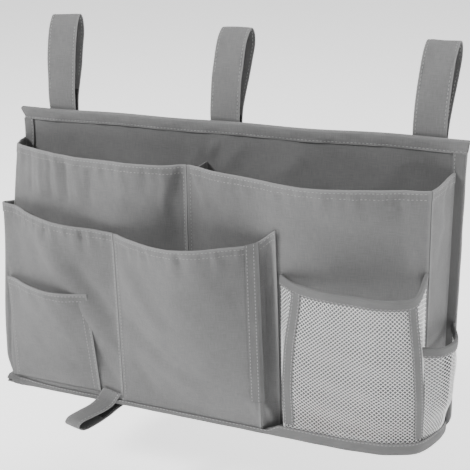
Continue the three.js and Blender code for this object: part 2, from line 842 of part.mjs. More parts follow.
// The part of a wall's surface that a net fills, under the tape along its edge.
const netEdge = net.strand + 2 * cornerGap;
function netPart(surface, height) {
  const foot = net.strand / height;
  const top = 1 - (tape.thickness + clearance + net.strand) / height;
  return (u, v) => surface(u, mix(foot, top, v));
}

// Shares along a wall's hem at its stations and between them, so that corners stay sharp.
function hemStops(wall, count) {
  const { lengths } = wall.row(1);
  const last = lengths[lengths.length - 1];
  return steps((wall.stations.length - 1) * count).map((s) =>
    lengths[Math.round(s * (lengths.length - 1))] / last);
}

// Net pocket: front, two sides, and its tapes
const netStandOff = cloth.thickness / 2 + clearance + tape.thickness / 2;
const netHems = hemRun(netHemShares, netPocket.leftHemPlace, netPocket.rightHemPlace,
  netPocket.reach, netPocket.hemHeight, netPocket.hemHeight);
const netStart = (z) => tallWall.outside(tallStation.seam, cornerSeam.spread, z, netStandOff);
const netEnd = (z) =>
  tallWall.outside(tallStation.rightCorner, -cornerSeam.spread, z, netStandOff);
const netLeftFoot = rimAtPlace(netPocket.leftPlace);
const netRightFoot = rimAtPlace(netPocket.rightPlace);
const netWall = new Wall([
  {
    foot: netStart(floorTop),
    hem: raisedTo(netStart(netPocket.hemHeight), netPocket.hemHeight),
  },
  {
    rim: netLeftFoot,
    hem: hemPoint(netPocket.leftHemPlace, netPocket.leftDepth, netPocket.hemHeight),
  },
  ...spread(netHems, netLeftFoot, netRightFoot, rimStation),
  {
    rim: netRightFoot,
    hem: hemPoint(netPocket.rightHemPlace, netPocket.rightDepth, netPocket.hemHeight),
  },
  {
    foot: netEnd(floorTop),
    hem: raisedTo(netEnd(netPocket.rightHeight), netPocket.rightHeight),
  },
], { leanShare: netLeanShare, startOn: netStart, endOn: netEnd });
const netStation = { left: 1, right: 2 + netHems.length };
netStation.end = netStation.right + 1;
const netHeight = netPocket.hemHeight;
add("net_pocket_left_net",
  netting(netPart(netWall.patch(0, netEdge, netStation.left, netEdge), netHeight),
    gussetNet.columns, gussetNet.rows, net.strand, net.thickness),
  paleNet);
add("net_pocket_front_net",
  netting(netPart(netWall.patch(netStation.left, netEdge, netStation.right, netEdge),
    netHeight), net.columns, net.rows, net.strand, net.thickness),
  paleNet);
add("net_pocket_right_net",
  netting(netPart(netWall.patch(netStation.right, netEdge, netStation.end, netEdge), netHeight),
    gussetNet.columns, gussetNet.rows, net.strand, net.thickness),
  paleNet);
add("net_pocket_top_tape",
  edgeTape(netWall.patch(0, tape.thickness + clearance, netStation.end,
    tape.thickness + clearance),
    hemStops(netWall, 4), netHeight),
  darkTape);
const netTapeTop = netPocket.hemHeight - tape.width - clearance;
add("net_pocket_left_tape",
  cornerTape(netWall, netStation.left, netTape.wrap, netTape.width, tapeFoot, netTapeTop,
    even(net.thickness)),
  darkTape);
add("net_pocket_right_tape",
  cornerTape(netWall, netStation.right, netTape.width, netTape.wrap, tapeFoot, netTapeTop,
    even(net.thickness)),
  darkTape);

// Net side pocket, from the net pocket's right corner to the panel's side
const sideStart = (z) => netWall.outside(netStation.right, sidePocket.startGap, z, netStandOff);
const sideHems = sideHemShares.map(([along, place, depth]) =>
  hemPoint(sidePocket.reach * place, sidePocket.reach * depth,
    mix(sidePocket.startHeight, sidePocket.hemHeight, Math.sqrt(along))));
const sideFoot = rimAtPlace(netPocket.rightPlace) + sidePocket.startGap;
const sideWall = new Wall([
  {
    foot: sideStart(floorTop),
    hem: raisedTo(sideStart(sidePocket.startHeight), sidePocket.startHeight),
  },
  ...spread(sideHems, sideFoot, rimLength, rimStation),
  {
    rim: rimLength,
    hem: hemPoint(rimHalf, endDepth, sidePocket.hemHeight),
  },
], { leanShare: netLeanShare, startOn: sideStart });
const sideEnd = sideHems.length + 1;
add("side_pocket_net",
  netting(netPart(sideWall.patch(0, netEdge, sideEnd, netEdge), sidePocket.hemHeight),
    sideNet.columns, sideNet.rows, net.strand, net.thickness),
  paleNet);
add("side_pocket_top_tape",
  edgeTape(sideWall.patch(0, tape.thickness, sideEnd, cornerGap), hemStops(sideWall, 4),
    sidePocket.hemHeight),
  darkTape);

// Back panel: layers with rounded lower corners, wrapped by the top band and side bindings
function layer(depth, margin, columns, rows, thickness) {
  const radius = panel.cornerRadius - margin;
  const halfWidth = panel.width / 2 - margin;
  const corner = steps(4).map((s) => radius * (1 - Math.cos((s * Math.PI) / 2)));
  const height = panel.height - 2 * margin;
  const heights = [...corner, ...rows.map((z) => z - margin), height];
  const surface = (u, v) => {
    const z = v * height;
    const drop = THREE.MathUtils.clamp(radius - z, 0, radius);
    const wideness = halfWidth - radius + Math.sqrt(radius * radius - drop * drop);
    return new THREE.Vector3(mix(-wideness, wideness, u), -depth, z + margin);
  };
  return sheet(surface, steps(columns), heights.map((z) => z / height), even(thickness));
}
const liningRows = steps(5).slice(1, 5).map((s) => s * panel.height);
add("back_lining",
  layer(lining.thickness / 2, 0, 8, liningRows, lining.thickness),
  greyCloth);
add("back_board",
  layer(boardRear + board.thickness / 2, board.margin, 6, liningRows, board.thickness),
  boardPlastic);
add("back_face_cloth",
  layer(clothRear + cloth.thickness / 2, 0, 8, liningRows, cloth.thickness),
  greyCloth);

const bandHalf = panel.width / 2 + topBand.overhang;
const bandTop = panel.height + clearance + tape.thickness;
const bandInner = panel.height + clearance;
const bandFoot = panel.height - topBand.height;
add("top_band",
  swept([
    [-bandFace, bandFoot], [-bandFace + tape.thickness, bandFoot],
    [-bandFace + tape.thickness, bandInner], [clearance, bandInner], [clearance, bandFoot],
    [bandRear, bandFoot], [bandRear, bandTop], [-bandFace, bandTop],
  ], steps(8), (u, y, z) => new THREE.Vector3(mix(-bandHalf, bandHalf, u), y, z)),
  darkTape);

// The panel's side from under the top band down and round the lower corner.
function panelSide(side) {
  const radius = panel.cornerRadius;
  const edge = (side * panel.width) / 2;
  const straight = steps(5).slice(0, 5).map((s) => ({
    at: new THREE.Vector3(edge, 0, mix(bandBottom, radius, s)),
    inward: new THREE.Vector3(-side, 0, 0),
  }));
  const round = steps(5).map((s) => {
    const angle = (s * Math.PI) / 2;
    const inward = new THREE.Vector3(-side * Math.cos(angle), 0, Math.sin(angle));
    const centre = new THREE.Vector3(edge - side * radius, 0, radius);
    return { at: centre.addScaledVector(inward, -radius), inward };
  });
  return [...straight, ...round];
}
const sideOuter = clearance + tape.thickness;
const sideSection = [
  [sideBinding.width, -bandFace], [sideBinding.width, -bandFace + tape.thickness],
  [-clearance, -bandFace + tape.thickness], [-clearance, clearance],
  [sideBinding.width, clearance], [sideBinding.width, bandRear],
  [-sideOuter, bandRear], [-sideOuter, -bandFace],
];
for (const [name, side] of [["left", -1], ["right", 1]]) {
  const stops = panelSide(side);
  add(`${name}_side_binding`,
    swept(sideSection, stops.keys().toArray(), (k, inward, y) =>
      stops[k].at.clone().addScaledVector(stops[k].inward, inward).setY(y)),
    darkTape);
}

// Base: cloth and board with the rim's outline, and the binding round the rim
const wallOutside = cloth.thickness / 2;
const cornerEnd = panel.width / 2 - panel.cornerRadius - clearance;
function floorPlate(thickness, z) {
  const edge = rimStops.map((d) => rimPoint(d).addScaledVector(rimOutward(d), wallOutside));
  const shape = new THREE.Shape([
    ...edge,
    footPoint(cornerEnd, endDepth), footPoint(cornerEnd, panelFace + clearance),
    footPoint(-cornerEnd, panelFace + clearance), footPoint(-cornerEnd, endDepth),
  ]);
  return new THREE.ExtrudeGeometry(shape, { depth: thickness, bevelEnabled: false, steps: 1 })
    .translate(0, 0, z);
}
add("base_cloth", floorPlate(cloth.thickness, 0), greyCloth);
add("base_board", floorPlate(base.boardThickness, cloth.thickness + clearance), boardPlastic);
const rimInner = wallOutside + clearance + rimBinding.slack;
const rimOuter = rimInner + tape.thickness;
const under = -clearance - tape.thickness;
add("rim_binding",
  swept([
    [rimOuter - rimBinding.underWidth, under], [rimOuter, under],
    [rimOuter, rimBinding.height], [rimInner, rimBinding.height],
    [rimInner, -clearance], [rimOuter - rimBinding.underWidth, -clearance],
  ], rimStops, (distance, out, z) =>
    raisedTo(rimPoint(distance).addScaledVector(rimOutward(distance), out), z)),
  darkTape);

// Hanging straps: each a sewn leg and a free leg that meet at the loop's crown. The free leg
// hangs down behind the panel and closes on the sewn leg's tail with hook tape on loop tape.
const tailDepth = bandRear + clearance + strap.thickness / 2;
const fastenerGap = strap.thickness / 2 + clearance + fastener.thickness / 2;
const freeDepth = tailDepth + strap.thickness + 3 * clearance + 2 * fastener.thickness;
const curvePoint = (y, z) => new THREE.Vector3(0, y, z);
const ribbon = (curve, place, width) => (u, v) =>
  curve.getPointAt(THREE.MathUtils.clamp(v, 0, 1)).setX(place + width * (u - 1 / 2));
const between = (from, to, count) => steps(count).map((s) => mix(from, to, s));
for (const { name, place, rise, setback, hookRise } of hangers) {
  const top = panel.height;
  const tailEnd = top - strap.tailLength;
  const freeEnd = top + hookRise - fastener.length - fastener.margin;
  const sewnPoints = [
    curvePoint(tailDepth, tailEnd),
    curvePoint(tailDepth, top - strap.tailLength / 2),
    curvePoint(tailDepth, top),
    ...frontLegShares.map(([up, back]) =>
      curvePoint(mix(tailDepth, setback, back), top + rise * up)),
    curvePoint(setback, top + rise),
  ];
  const freePoints = [
    ...rearLegShares.map(([up, back]) => curvePoint(setback * back, top + rise * up)),
    curvePoint(freeDepth + strap.thickness / 2, mix(top, freeEnd, 1 / 6)),
    ...[1 / 2, 3 / 4, 1].map((share) => curvePoint(freeDepth, mix(top, freeEnd, share))),
  ];
  const points = [...sewnPoints, ...freePoints];
  const curve = new THREE.CatmullRomCurve3(points, false, "centripetal");
  const length = curve.getLength();
  const crown = steps(400).reduce((best, s) =>
    (curve.getPointAt(s).z > curve.getPointAt(best).z ? s : best), 0);
  const surface = ribbon(curve, place, strap.width);
  const split = strap.seamGap / 2 / length;
  add(`${name}_strap_sewn_leg`,
    sheet(surface, steps(2), between(0, crown - split, 16), even(strap.thickness)),
    greyCloth);
  add(`${name}_strap_free_leg`,
    sheet(surface, steps(2), between(crown + split, 1, 14), even(strap.thickness)),
    greyCloth);
  const inside = raised(ribbon(curve, place, fastener.width), -fastenerGap);
  const patch = (from, to) => sheet(inside, steps(2), between(from / length, to / length, 5),
    even(fastener.thickness));
  add(`${name}_loop_tape`,
    patch(fastener.margin, fastener.margin + fastener.length),
    blackTape);
  add(`${name}_hook_tape`,
    patch(length - fastener.margin - fastener.length, length - fastener.margin),
    blackTape);
}

// Strap at the front edge: sewn flat over the rim's binding, it turns back in a loop and ends
// under the base, where its hook tape meets loop tape on the base.
const lowStart = new THREE.Vector3(lowStrap.place,
  -base.depth - rimOuter - clearance - strap.thickness / 2, lowStrap.startHeight);
const lowPoint = ([side, forward, down]) =>
  lowStart.clone().add(new THREE.Vector3(side, -forward, -down).multiplyScalar(lowStrap.reach));
const underBase = -2 * clearance - 2 * fastener.thickness - clearance - strap.thickness / 2;
const lowPoints = [
  ...[...lowSewnShares, ...lowFreeShares].map(lowPoint),
  ...lowEndShares.map(([side, forward]) => lowPoint([side, forward, 0]).setZ(underBase)),
];
const lowCurve = new THREE.CatmullRomCurve3(lowPoints, false, "centripetal");
const lowLength = lowCurve.getLength();
const lowCrown = steps(400).reduce((best, s) =>
  (lowCurve.getPointAt(s).y < lowCurve.getPointAt(best).y ? s : best), 0);

// The strap's width lies along the binding at its start and turns forwards towards the loop.
const lowSurface = (width) => (u, v) => {
  const turn = THREE.MathUtils.smoothstep(v, 0, lowCrown);
  const across = new THREE.Vector3(1, lowTurnShare * turn, lowTiltShare * (1 - turn));
  const middle = lowCurve.getPointAt(THREE.MathUtils.clamp(v, 0, 1));
  return middle.addScaledVector(across.normalize(), width * (u - 1 / 2));
};
const lowSplit = strap.seamGap / 2 / lowLength;
add("low_strap_sewn_leg",
  sheet(lowSurface(lowStrap.width), steps(3), between(0, lowCrown - lowSplit, 12),
    even(strap.thickness)),
  greyCloth);
add("low_strap_free_leg",
  sheet(lowSurface(lowStrap.width), steps(3), between(lowCrown + lowSplit, 1, 16),
    even(strap.thickness)),
  greyCloth);
const hookShare = lowFastener.hookLength / lowLength;
const marginShare = fastener.margin / lowLength;
add("low_hook_tape",
  sheet(raised(lowSurface(lowFastener.width), fastenerGap), steps(2),
    between(1 - marginShare - hookShare, 1 - marginShare, 8), even(fastener.thickness)),
  blackTape);
const loopShare = lowFastener.loopLength / lowLength;
add("low_loop_tape",
  sheet((u, v) => lowSurface(lowFastener.width)(u, v).setZ(-clearance - fastener.thickness / 2),
    steps(2), between(1 - marginShare - loopShare, 1 - marginShare, 3),
    even(fastener.thickness)),
  blackTape);

const caddy = new THREE.Group();
for (const mesh of parts.values()) {
  caddy.add(mesh);
}
caddy.position.z = -panel.height;

export default caddy;
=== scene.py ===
"""Bedside caddy in grey woven cloth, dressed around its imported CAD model.

Shapes are worked out in millimetres in the panel's own coordinates: x to the right, y to the
rear with the panel's rear face at 0, and z up from the panel's lower edge. Every piece is moved
to the model's frame, in metres, when its mesh is made.
"""

from __future__ import annotations

import logging
import math
from dataclasses import dataclass, field
from enum import Enum
from typing import Callable, Sequence

import bpy
import numpy as np
from mathutils import Matrix, Vector

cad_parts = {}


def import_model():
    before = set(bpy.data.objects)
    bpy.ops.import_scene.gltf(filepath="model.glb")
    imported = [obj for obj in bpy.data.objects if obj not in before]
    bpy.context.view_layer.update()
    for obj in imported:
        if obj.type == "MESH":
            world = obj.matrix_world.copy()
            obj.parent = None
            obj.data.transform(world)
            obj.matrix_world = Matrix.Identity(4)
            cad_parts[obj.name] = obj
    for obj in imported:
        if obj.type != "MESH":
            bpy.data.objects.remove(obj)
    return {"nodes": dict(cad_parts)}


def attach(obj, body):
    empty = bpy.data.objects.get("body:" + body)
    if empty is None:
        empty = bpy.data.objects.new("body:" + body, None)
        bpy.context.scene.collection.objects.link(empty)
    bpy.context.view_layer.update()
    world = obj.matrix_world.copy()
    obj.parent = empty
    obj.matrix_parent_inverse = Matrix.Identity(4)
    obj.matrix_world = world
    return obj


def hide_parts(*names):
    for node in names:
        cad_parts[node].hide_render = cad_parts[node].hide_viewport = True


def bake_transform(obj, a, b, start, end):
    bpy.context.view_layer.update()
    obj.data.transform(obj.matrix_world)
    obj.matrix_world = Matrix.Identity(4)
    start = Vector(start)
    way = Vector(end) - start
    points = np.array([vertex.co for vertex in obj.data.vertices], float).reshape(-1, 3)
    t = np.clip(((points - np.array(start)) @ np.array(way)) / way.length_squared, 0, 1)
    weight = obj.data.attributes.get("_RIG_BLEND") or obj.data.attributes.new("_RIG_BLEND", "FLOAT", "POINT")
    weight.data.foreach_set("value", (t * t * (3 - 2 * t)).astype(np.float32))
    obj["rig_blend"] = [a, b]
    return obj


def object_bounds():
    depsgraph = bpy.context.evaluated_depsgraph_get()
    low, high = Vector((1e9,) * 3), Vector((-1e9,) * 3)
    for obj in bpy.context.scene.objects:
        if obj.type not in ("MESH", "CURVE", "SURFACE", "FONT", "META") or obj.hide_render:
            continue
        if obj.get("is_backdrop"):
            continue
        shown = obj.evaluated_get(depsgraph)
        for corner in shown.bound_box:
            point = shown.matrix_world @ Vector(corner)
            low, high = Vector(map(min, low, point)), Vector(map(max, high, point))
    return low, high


LOG = logging.getLogger("caddy")

Array = np.ndarray
Piece = bpy.types.Object
Material = bpy.types.Material
Socket = bpy.types.NodeSocket
# A surface takes shares across (n) and shares up (m), and gives points (m, n, 3).
Surface = Callable[[Array, Array], Array]
Plan = Callable[[Array], Array]
Hem = tuple[float, float, float]
# A line of stitches: its points (n, 3) and its directions out of the cloth (n, 3).
Line = tuple[Array, Array]

# CLEARANCE is kept between pieces. A pocket wall stands straight up to UPRIGHT. The rim ends
# at END_DEPTH in front of the panel's rear face. STAND_OFF lies between two walls' middles.
METRE = 0.001
QUARTER = math.pi / 2.0
PANEL_WIDTH = 480.0
PANEL_HEIGHT = 300.0
CLEARANCE = 0.3
TAPE = 0.9
CLOTH = 0.9
FLOOR_TOP = 3.8
UPRIGHT = 14.0
PANEL_FACE = 5.2
BAND_FACE = 6.4
BAND_REAR = 1.2
END_DEPTH = 6.7
CORNER_GAP = 0.25
STAND_OFF = 2.1
NET_STAND_OFF = 1.35
NET_HEM = 175.0
SIDE_HEM = 121.0
FOOT_SEAM = 12.3
MIDDLE = np.array([0.5])
PANEL_TOP = np.array([0.0, 0.0, PANEL_HEIGHT])


def mix(low: Array | float, high: Array | float, share: Array | float) -> Array:
    """Straight mix: low + (high - low) * share."""
    return low + (high - low) * share


def smooth(value: Array, low: float, high: float) -> Array:
    """A soft step from 0 at low to 1 at high: s * s * (3 - 2 * s)."""
    share = np.clip((value - low) / (high - low), 0, 1)
    return share * share * (3 - 2 * share)


def unit(vectors: Array) -> Array:
    """The vectors at length 1."""
    return vectors / np.maximum(np.linalg.norm(vectors, axis=-1, keepdims=True), 1e-9)


def steps(count: int, low: float = 0.0, high: float = 1.0) -> Array:
    """Count even steps from low to high, with both ends."""
    return np.linspace(low, high, count + 1)


def hump(value: Array, middle: float, reach: float) -> Array:
    """A soft hump, 1 at its middle: exp(-((value - middle) / reach)^2)."""
    return np.exp(-(((value - middle) / reach) ** 2))


def gaps(points: Array, axis: int = 0) -> Array:
    """Distances between neighbouring points along an axis."""
    return np.linalg.norm(np.diff(points, axis=axis), axis=-1)


def run_of(lengths: Array) -> Array:
    """Distances from the start, from the lengths of the steps."""
    return np.append(0, np.cumsum(lengths))


def together(*parts: Array | float) -> Array:
    """Points from their coordinates, which may have any shapes that fit each other."""
    return np.stack(np.broadcast_arrays(*parts), -1)


def waves(across: Array, up: Array, seed: int, length: float, count: int = 7) -> Array:
    """Gentle unevenness of cloth, from about -1 to 1.

    The sum of count sine waves, sin(k . p + phase), whose directions and lengths are drawn
    once from the seed, divided by the root of their number.

    Args:
        across: Place along the cloth.
        up: Place up the cloth.
        seed: Which draw of waves.
        length: The usual wavelength.
        count: How many waves.

    Returns:
        The height of the waves at each place.
    """
    draw = np.random.default_rng(seed)
    turns = draw.uniform(0, math.tau, count)
    sizes = math.tau / (length * draw.uniform(0.6, 1.7, count))
    phases = draw.uniform(0, math.tau, count)
    total = np.zeros(np.broadcast(across, up).shape)
    for turn, size, phase in zip(turns, sizes, phases):
        total += np.sin(size * (math.cos(turn) * across + math.sin(turn) * up) + phase)
    return total / math.sqrt(count)


class Curve:
    """A smooth curve through points: centripetal Catmull-Rom, straight beyond its ends."""

    def __init__(self, points: Sequence[Sequence[float]]) -> None:
        """Keeps the points, each end doubled outwards.

        Args:
            points: The points that the curve passes, two or three numbers each.
        """
        inner = np.asarray(points, float)
        ends = 2 * inner[[0, -1]] - inner[[1, -2]]
        self.knots = np.vstack([ends[:1], inner, ends[1:]])
        self.last = len(inner) - 1
        shares = steps(1600)
        line = self.at(shares)
        lengths = run_of(gaps(line))
        self.length = float(lengths[-1])
        self.table = (lengths / lengths[-1], shares)

    def at(self, share: Array) -> Array:
        """Points at shares of the knots: a cubic between the two nearest knots.

        Args:
            share: Shares from 0 to 1.

        Returns:
            The points, with the knots' number of coordinates.
        """
        place = np.clip(share, 0, 1) * self.last
        first = np.minimum(place.astype(int), self.last - 1)
        f = (place - first)[..., None]
        a, b, c, d = (self.knots[first + k] for k in range(4))

        def gap(start: Array, end: Array) -> Array:
            """The square root of a distance, which makes the spacing centripetal."""
            return np.sqrt(np.linalg.norm(end - start, axis=-1, keepdims=True)) + 1e-9

        ab, bc, cd = gap(a, b), gap(b, c), gap(c, d)
        leave = ((b - a) / ab - (c - a) / (ab + bc) + (c - b) / bc) * bc
        arrive = ((c - b) / bc - (d - b) / (bc + cd) + (d - c) / cd) * bc
        square = -3 * b + 3 * c - 2 * leave - arrive
        cube = 2 * b - 2 * c + leave + arrive
        return b + f * (leave + f * (square + f * cube))

    def along(self, share: Array) -> Array:
        """Points at even shares of the curve's length."""
        return self.at(np.interp(share, *self.table))


@dataclass(frozen=True)
class Rim:
    """The line on which the outer walls stand: left side, front, right corner, right side."""

    half: float = 238.5
    depth: float = 74.0
    left_radius: float = 10.0
    right_radius: float = 55.0
    drawn_in: float = 6.5

    @property
    def ends(self) -> Array:
        """Distances at which the rim's five stretches end.

        Returns:
            The five distances.
        """
        left, right = self.left_radius, self.right_radius
        return np.cumsum([self.depth - left - END_DEPTH, left * QUARTER,
                          2 * self.half - left - right, right * QUARTER,
                          self.depth - right - END_DEPTH])

    def turns(self, distance: Array) -> tuple[Array, Array]:
        """How far the rim has turned, round its left corner and round its right one."""
        corners = ((self.ends[0], self.left_radius), (self.ends[2], self.right_radius))
        return tuple(np.clip((distance - end) / r, 0, QUARTER) for end, r in corners)

    def at(self, distance: Array) -> Array:
        """Plan points at distances along the rim.

        The straight stretches grow with the distance, and a corner of radius r adds
        r * (1 - cos) one way and r * sin the other. The net's weight draws the cloth in a
        little round the right corner.

        Args:
            distance: Distances from the panel, down the left side and round.

        Returns:
            Points (..., 2).
        """
        ends = self.ends
        distance = np.clip(distance, 0, ends[4])
        left, right = self.turns(distance)
        x = -self.half + self.left_radius * (1 - np.cos(left))
        x = x + np.clip(distance - ends[1], 0, ends[2] - ends[1])
        x = x + self.right_radius * np.sin(right)
        y = -END_DEPTH - np.clip(distance, 0, ends[0]) - self.left_radius * np.sin(left)
        y = y + self.right_radius * (1 - np.cos(right))
        y = y + np.clip(distance - ends[3], 0, None)
        slack = smooth(distance, ends[2] - 40, ends[2] + 35)
        slack = slack * (1 - 0.5 * smooth(distance, ends[3] - 20, ends[4]))
        inward = self.drawn_in * slack - 2.5 * hump(distance, ends[2] + 40, 14)
        return together(x, y) - self.outward(distance) * inward[..., None]

    def outward(self, distance: Array) -> Array:
        """Plan directions that point out of the base."""
        angle = sum(self.turns(distance)) - QUARTER
        return together(np.sin(angle), -np.cos(angle))

    def at_place(self, x: float) -> float:
        """The distance along the rim of a place on the front, on round the right corner.

        Args:
            x: The place.

        Returns:
            The distance.
        """
        past = (x - self.half + self.right_radius) / self.right_radius
        if past > 0:
            return float(self.ends[2] + self.right_radius * math.asin(min(past, 1)))
        return float(self.ends[1] + x + self.half - self.left_radius)


RIM = Rim()


@dataclass(frozen=True)
class Station:
    """A place on a pocket wall: its hem point and its foot, on the rim or on the floor."""

    hem: Hem
    rim: float | None = None
    foot: tuple[float, float] | None = None

    @property
    def standing(self) -> Array:
        """The plan point of the foot."""
        return RIM.at(np.asarray(self.rim)) if self.foot is None else np.asarray(self.foot)


def hem_point(x: float, depth: float, z: float) -> Hem:
    """A hem point from its depth in front of the panel."""
    return (x, -depth, z)


def hem_run(rows: Sequence[tuple[float, float]], start: float, end: float, reach: float,
            start_z: float, end_z: float) -> list[Hem]:
    """Hem points between two places, from shares along and shares of the reach."""
    return [hem_point(mix(start, end, along), reach * share, mix(start_z, end_z, along))
            for along, share in rows]


def on_rim(distance: float) -> dict:
    """A foot on the rim."""
    return {"rim": distance}


def spread(hems: Sequence[Hem], start: float, end: float,
           make: Callable[[float], dict] = on_rim) -> list[Station]:
    """Stations whose feet are spread evenly between two feet."""
    count = len(hems) + 1
    return [Station(hem, **make(mix(start, end, (i + 1) / count))) for i, hem in enumerate(hems)]


def pick(points: Array, keys: Array, wanted: Array) -> Array:
    """Points where rising keys reach the wanted values, by straight lines between points.

    Args:
        points: Rows of points (m, t, 3).
        keys: A rising number for each point (m, t).
        wanted: Values (m, n).

    Returns:
        Points (m, n, 3).
    """
    first = (keys[:, None, :] <= wanted[:, :, None]).sum(-1) - 1
    first = np.clip(first, 0, keys.shape[1] - 2)
    row = np.arange(len(keys))[:, None]
    low, high = keys[row, first], keys[row, first + 1]
    f = ((wanted - low) / np.maximum(high - low, 1e-9))[..., None]
    return mix(points[row, first], points[row, first + 1], f)


@dataclass(frozen=True)
class Sway:
    """Where a wall swells out of line: a plan shift that is greatest near one station.

    Its share is a soft step up from the first height to the second, a soft step down from the
    third to the fourth, and exp(-((place - station) / reach)^2) along the wall.
    """

    station: float
    shift: tuple[float, float]
    heights: tuple[float, float, float, float]
    reach: float = 0.55

    def at(self, place: Array, z: Array) -> Array:
        """The shift at places along the wall and heights."""
        share = smooth(z, *self.heights[:2]) * (1 - smooth(z, *self.heights[2:]))
        return (share * hump(place, self.station, self.reach))[..., None] * np.array(self.shift)


class Wall:
    """A run of pocket wall that stands on feet, rises as high as the binding and leans out."""

    samples = 20

    def __init__(
        self,
        stations: Sequence[Station],
        lean: float,
        start_on: Plan | None = None,
        end_on: Plan | None = None,
        sways: Sequence[Sway] = (),
    ) -> None:
        """Keeps the stations as arrays.

        Args:
            stations: The wall's stations from left to right.
            lean: How early the wall leans out, 1 for a straight line.
            start_on: Where the wall's start goes at each height, if on another wall.
            end_on: Where its end goes.
            sways: Where it swells out of line.
        """
        self.hems = np.array([s.hem for s in stations])
        self.hem = Curve(self.hems)
        self.rims = np.array([np.nan if s.rim is None else s.rim for s in stations])
        self.feet = np.array([s.standing for s in stations])
        self.last = len(stations) - 1
        self.lean, self.start_on, self.end_on = lean, start_on, end_on
        self.sways = sways

    def foot(self, place: Array) -> Array:
        """Plan points of the foot: along the rim between two feet on it, else straight.

        Args:
            place: Places in stations (n).

        Returns:
            Plan points (n, 2).
        """
        first = np.minimum(place.astype(int), self.last - 1)
        f = place - first
        straight = mix(self.feet[first], self.feet[first + 1], f[..., None])
        distance = mix(self.rims[first], self.rims[first + 1], f)
        stands = ~np.isnan(distance)
        return np.where(stands[..., None], RIM.at(np.where(stands, distance, 0)), straight)

    def point(self, place: Array, up: Array) -> Array:
        """The wall's points.

        With s the share of the height above the upright foot, the plan point is
        mix(foot, hem, s * mix(lean, 1, s)).

        Args:
            place: Places in stations (n).
            up: Shares of the height (m).

        Returns:
            Points (m, n, 3).
        """
        place = np.clip(place, 0, self.last)
        rise = np.asarray(up, float)[:, None]
        hem = self.hem.at(place / self.last)[None]
        z = mix(FLOOR_TOP, hem[..., 2], rise)
        share = (z - UPRIGHT) / (hem[..., 2] - UPRIGHT)
        share = np.clip(share, 0, np.maximum(rise, 1))
        lean = (share * mix(self.lean, 1, share))[..., None]
        plan = mix(self.foot(place)[None], hem[..., :2], lean)
        for on, end, near in (
            (self.start_on, 0, np.clip(1 - place, 0, 1)),
            (self.end_on, self.last, np.clip(place - self.last + 1, 0, 1)),
        ):
            if on is not None:
                drawn = mix(self.feet[end], self.hems[end, :2], lean)
                plan = plan + (on(z) - drawn) * near[None, :, None]
        for sway in self.sways:
            plan = plan + sway.at(place[None], z)
        return np.concatenate([plan, z[..., None]], -1)

    def rows(self, up: Array) -> tuple[Array, Array]:
        """The wall's lines at some heights: points (m, t, 3) and distances along (m, t)."""
        points = self.point(steps(self.last * self.samples, 0, self.last), up)
        return points, np.pad(np.cumsum(gaps(points, 1), 1), ((0, 0), (1, 0)))

    def share_at(self, station: int, z: Array | float) -> Array:
        """The share of a station's height that lies at a height."""
        return (np.asarray(z, float) - FLOOR_TOP) / (self.hems[station, 2] - FLOOR_TOP)

    def outside(self, station: int, shift: float, stand_off: float) -> Plan:
        """The line up a station's outside, as a function of height.

        Args:
            station: Which station.
            shift: How far along the wall from it.
            stand_off: How far out of the wall's middle.

        Returns:
            A function from heights to plan points.
        """
        heights = steps(60, FLOOR_TOP, float(self.hems[station, 2]) + 4)
        points, lengths = self.rows(self.share_at(station, heights))
        here = lengths[:, station * self.samples, None] + shift
        at, ahead, behind = (pick(points, lengths, here + d)[:, 0, :2] for d in (0, 5, -5))
        along = unit(ahead - behind)
        plan = at + stand_off * np.stack([along[:, 1], -along[:, 0]], -1)

        def line(z: Array) -> Array:
            """Plan points at heights, by straight lines between the tabled ones."""
            return np.stack([np.interp(z, heights, plan[:, k]) for k in (0, 1)], -1)

        return line

    def patch(self, start: int, start_shift: float, end: int, end_shift: float) -> Surface:
        """The surface from one station to another, each end moved inwards by a distance.

        Args:
            start: The first station.
            start_shift: How far in from it the surface starts.
            end: The last station.
            end_shift: How far in from it the surface ends.

        Returns:
            Points at even shares of each row's length, as a function.
        """

        def surface(across: Array, up: Array) -> Array:
            """Points at shares across and shares up.

            Args:
                across: Shares across (n).
                up: Shares up (m).

            Returns:
                Points (m, n, 3).
            """
            points, lengths = self.rows(up)
            low, high = (lengths[:, [k * self.samples]] for k in (start, end))
            return pick(points, lengths, mix(low + start_shift, high - end_shift, across[None]))

        return surface

    def behind(self, start: int, end: int, x: Array, z: Array) -> Array:
        """Points of the wall between two stations at places across and heights.

        Args:
            start: The first station.
            end: The last station.
            x: Places across, of any shape.
            z: Heights.

        Returns:
            Points (..., 3).
        """
        shape = np.broadcast(x, z).shape
        across, height = (np.broadcast_to(a, shape).ravel() for a in (x, z))
        up = self.share_at(start, height)
        for _ in range(4):
            points = self.point(steps((end - start) * 10, float(start), float(end)), up)
            found = pick(points, points[..., 0], across[:, None])[:, 0]
            up = up * (height - FLOOR_TOP) / np.maximum(found[:, 2] - FLOOR_TOP, CLEARANCE)
        return found.reshape(*shape, 3)


def outwards(surface: Surface, across: Array, up: Array, width: float, height: float) -> Array:
    """A surface's outward directions, from points 2 mm to each side of each point.

    At a corner the directions to the left and to the right count the same, so that the two
    faces meet in a mitre.

    Args:
        surface: The surface.
        across: Shares across (n).
        up: Shares up (m).
        width: The surface's width.
        height: Its height.

    Returns:
        Directions (m, n, 3).
    """
    probe = 2
    here = surface(across, up)
    right = unit(surface(across + probe / width, up) - here)
    left = unit(here - surface(across - probe / width, up))
    rise = surface(across, up + probe / height) - surface(across, up - probe / height)
    return unit(np.cross(right + left, rise))


def bounds_of(surface: Surface) -> tuple[float, float]:
    """A surface's width at half its height, and its height along its middle."""
    row, column = surface(steps(60), MIDDLE)[0], surface(MIDDLE, steps(60))[:, 0]
    return float(gaps(row).sum()), float(gaps(column).sum())


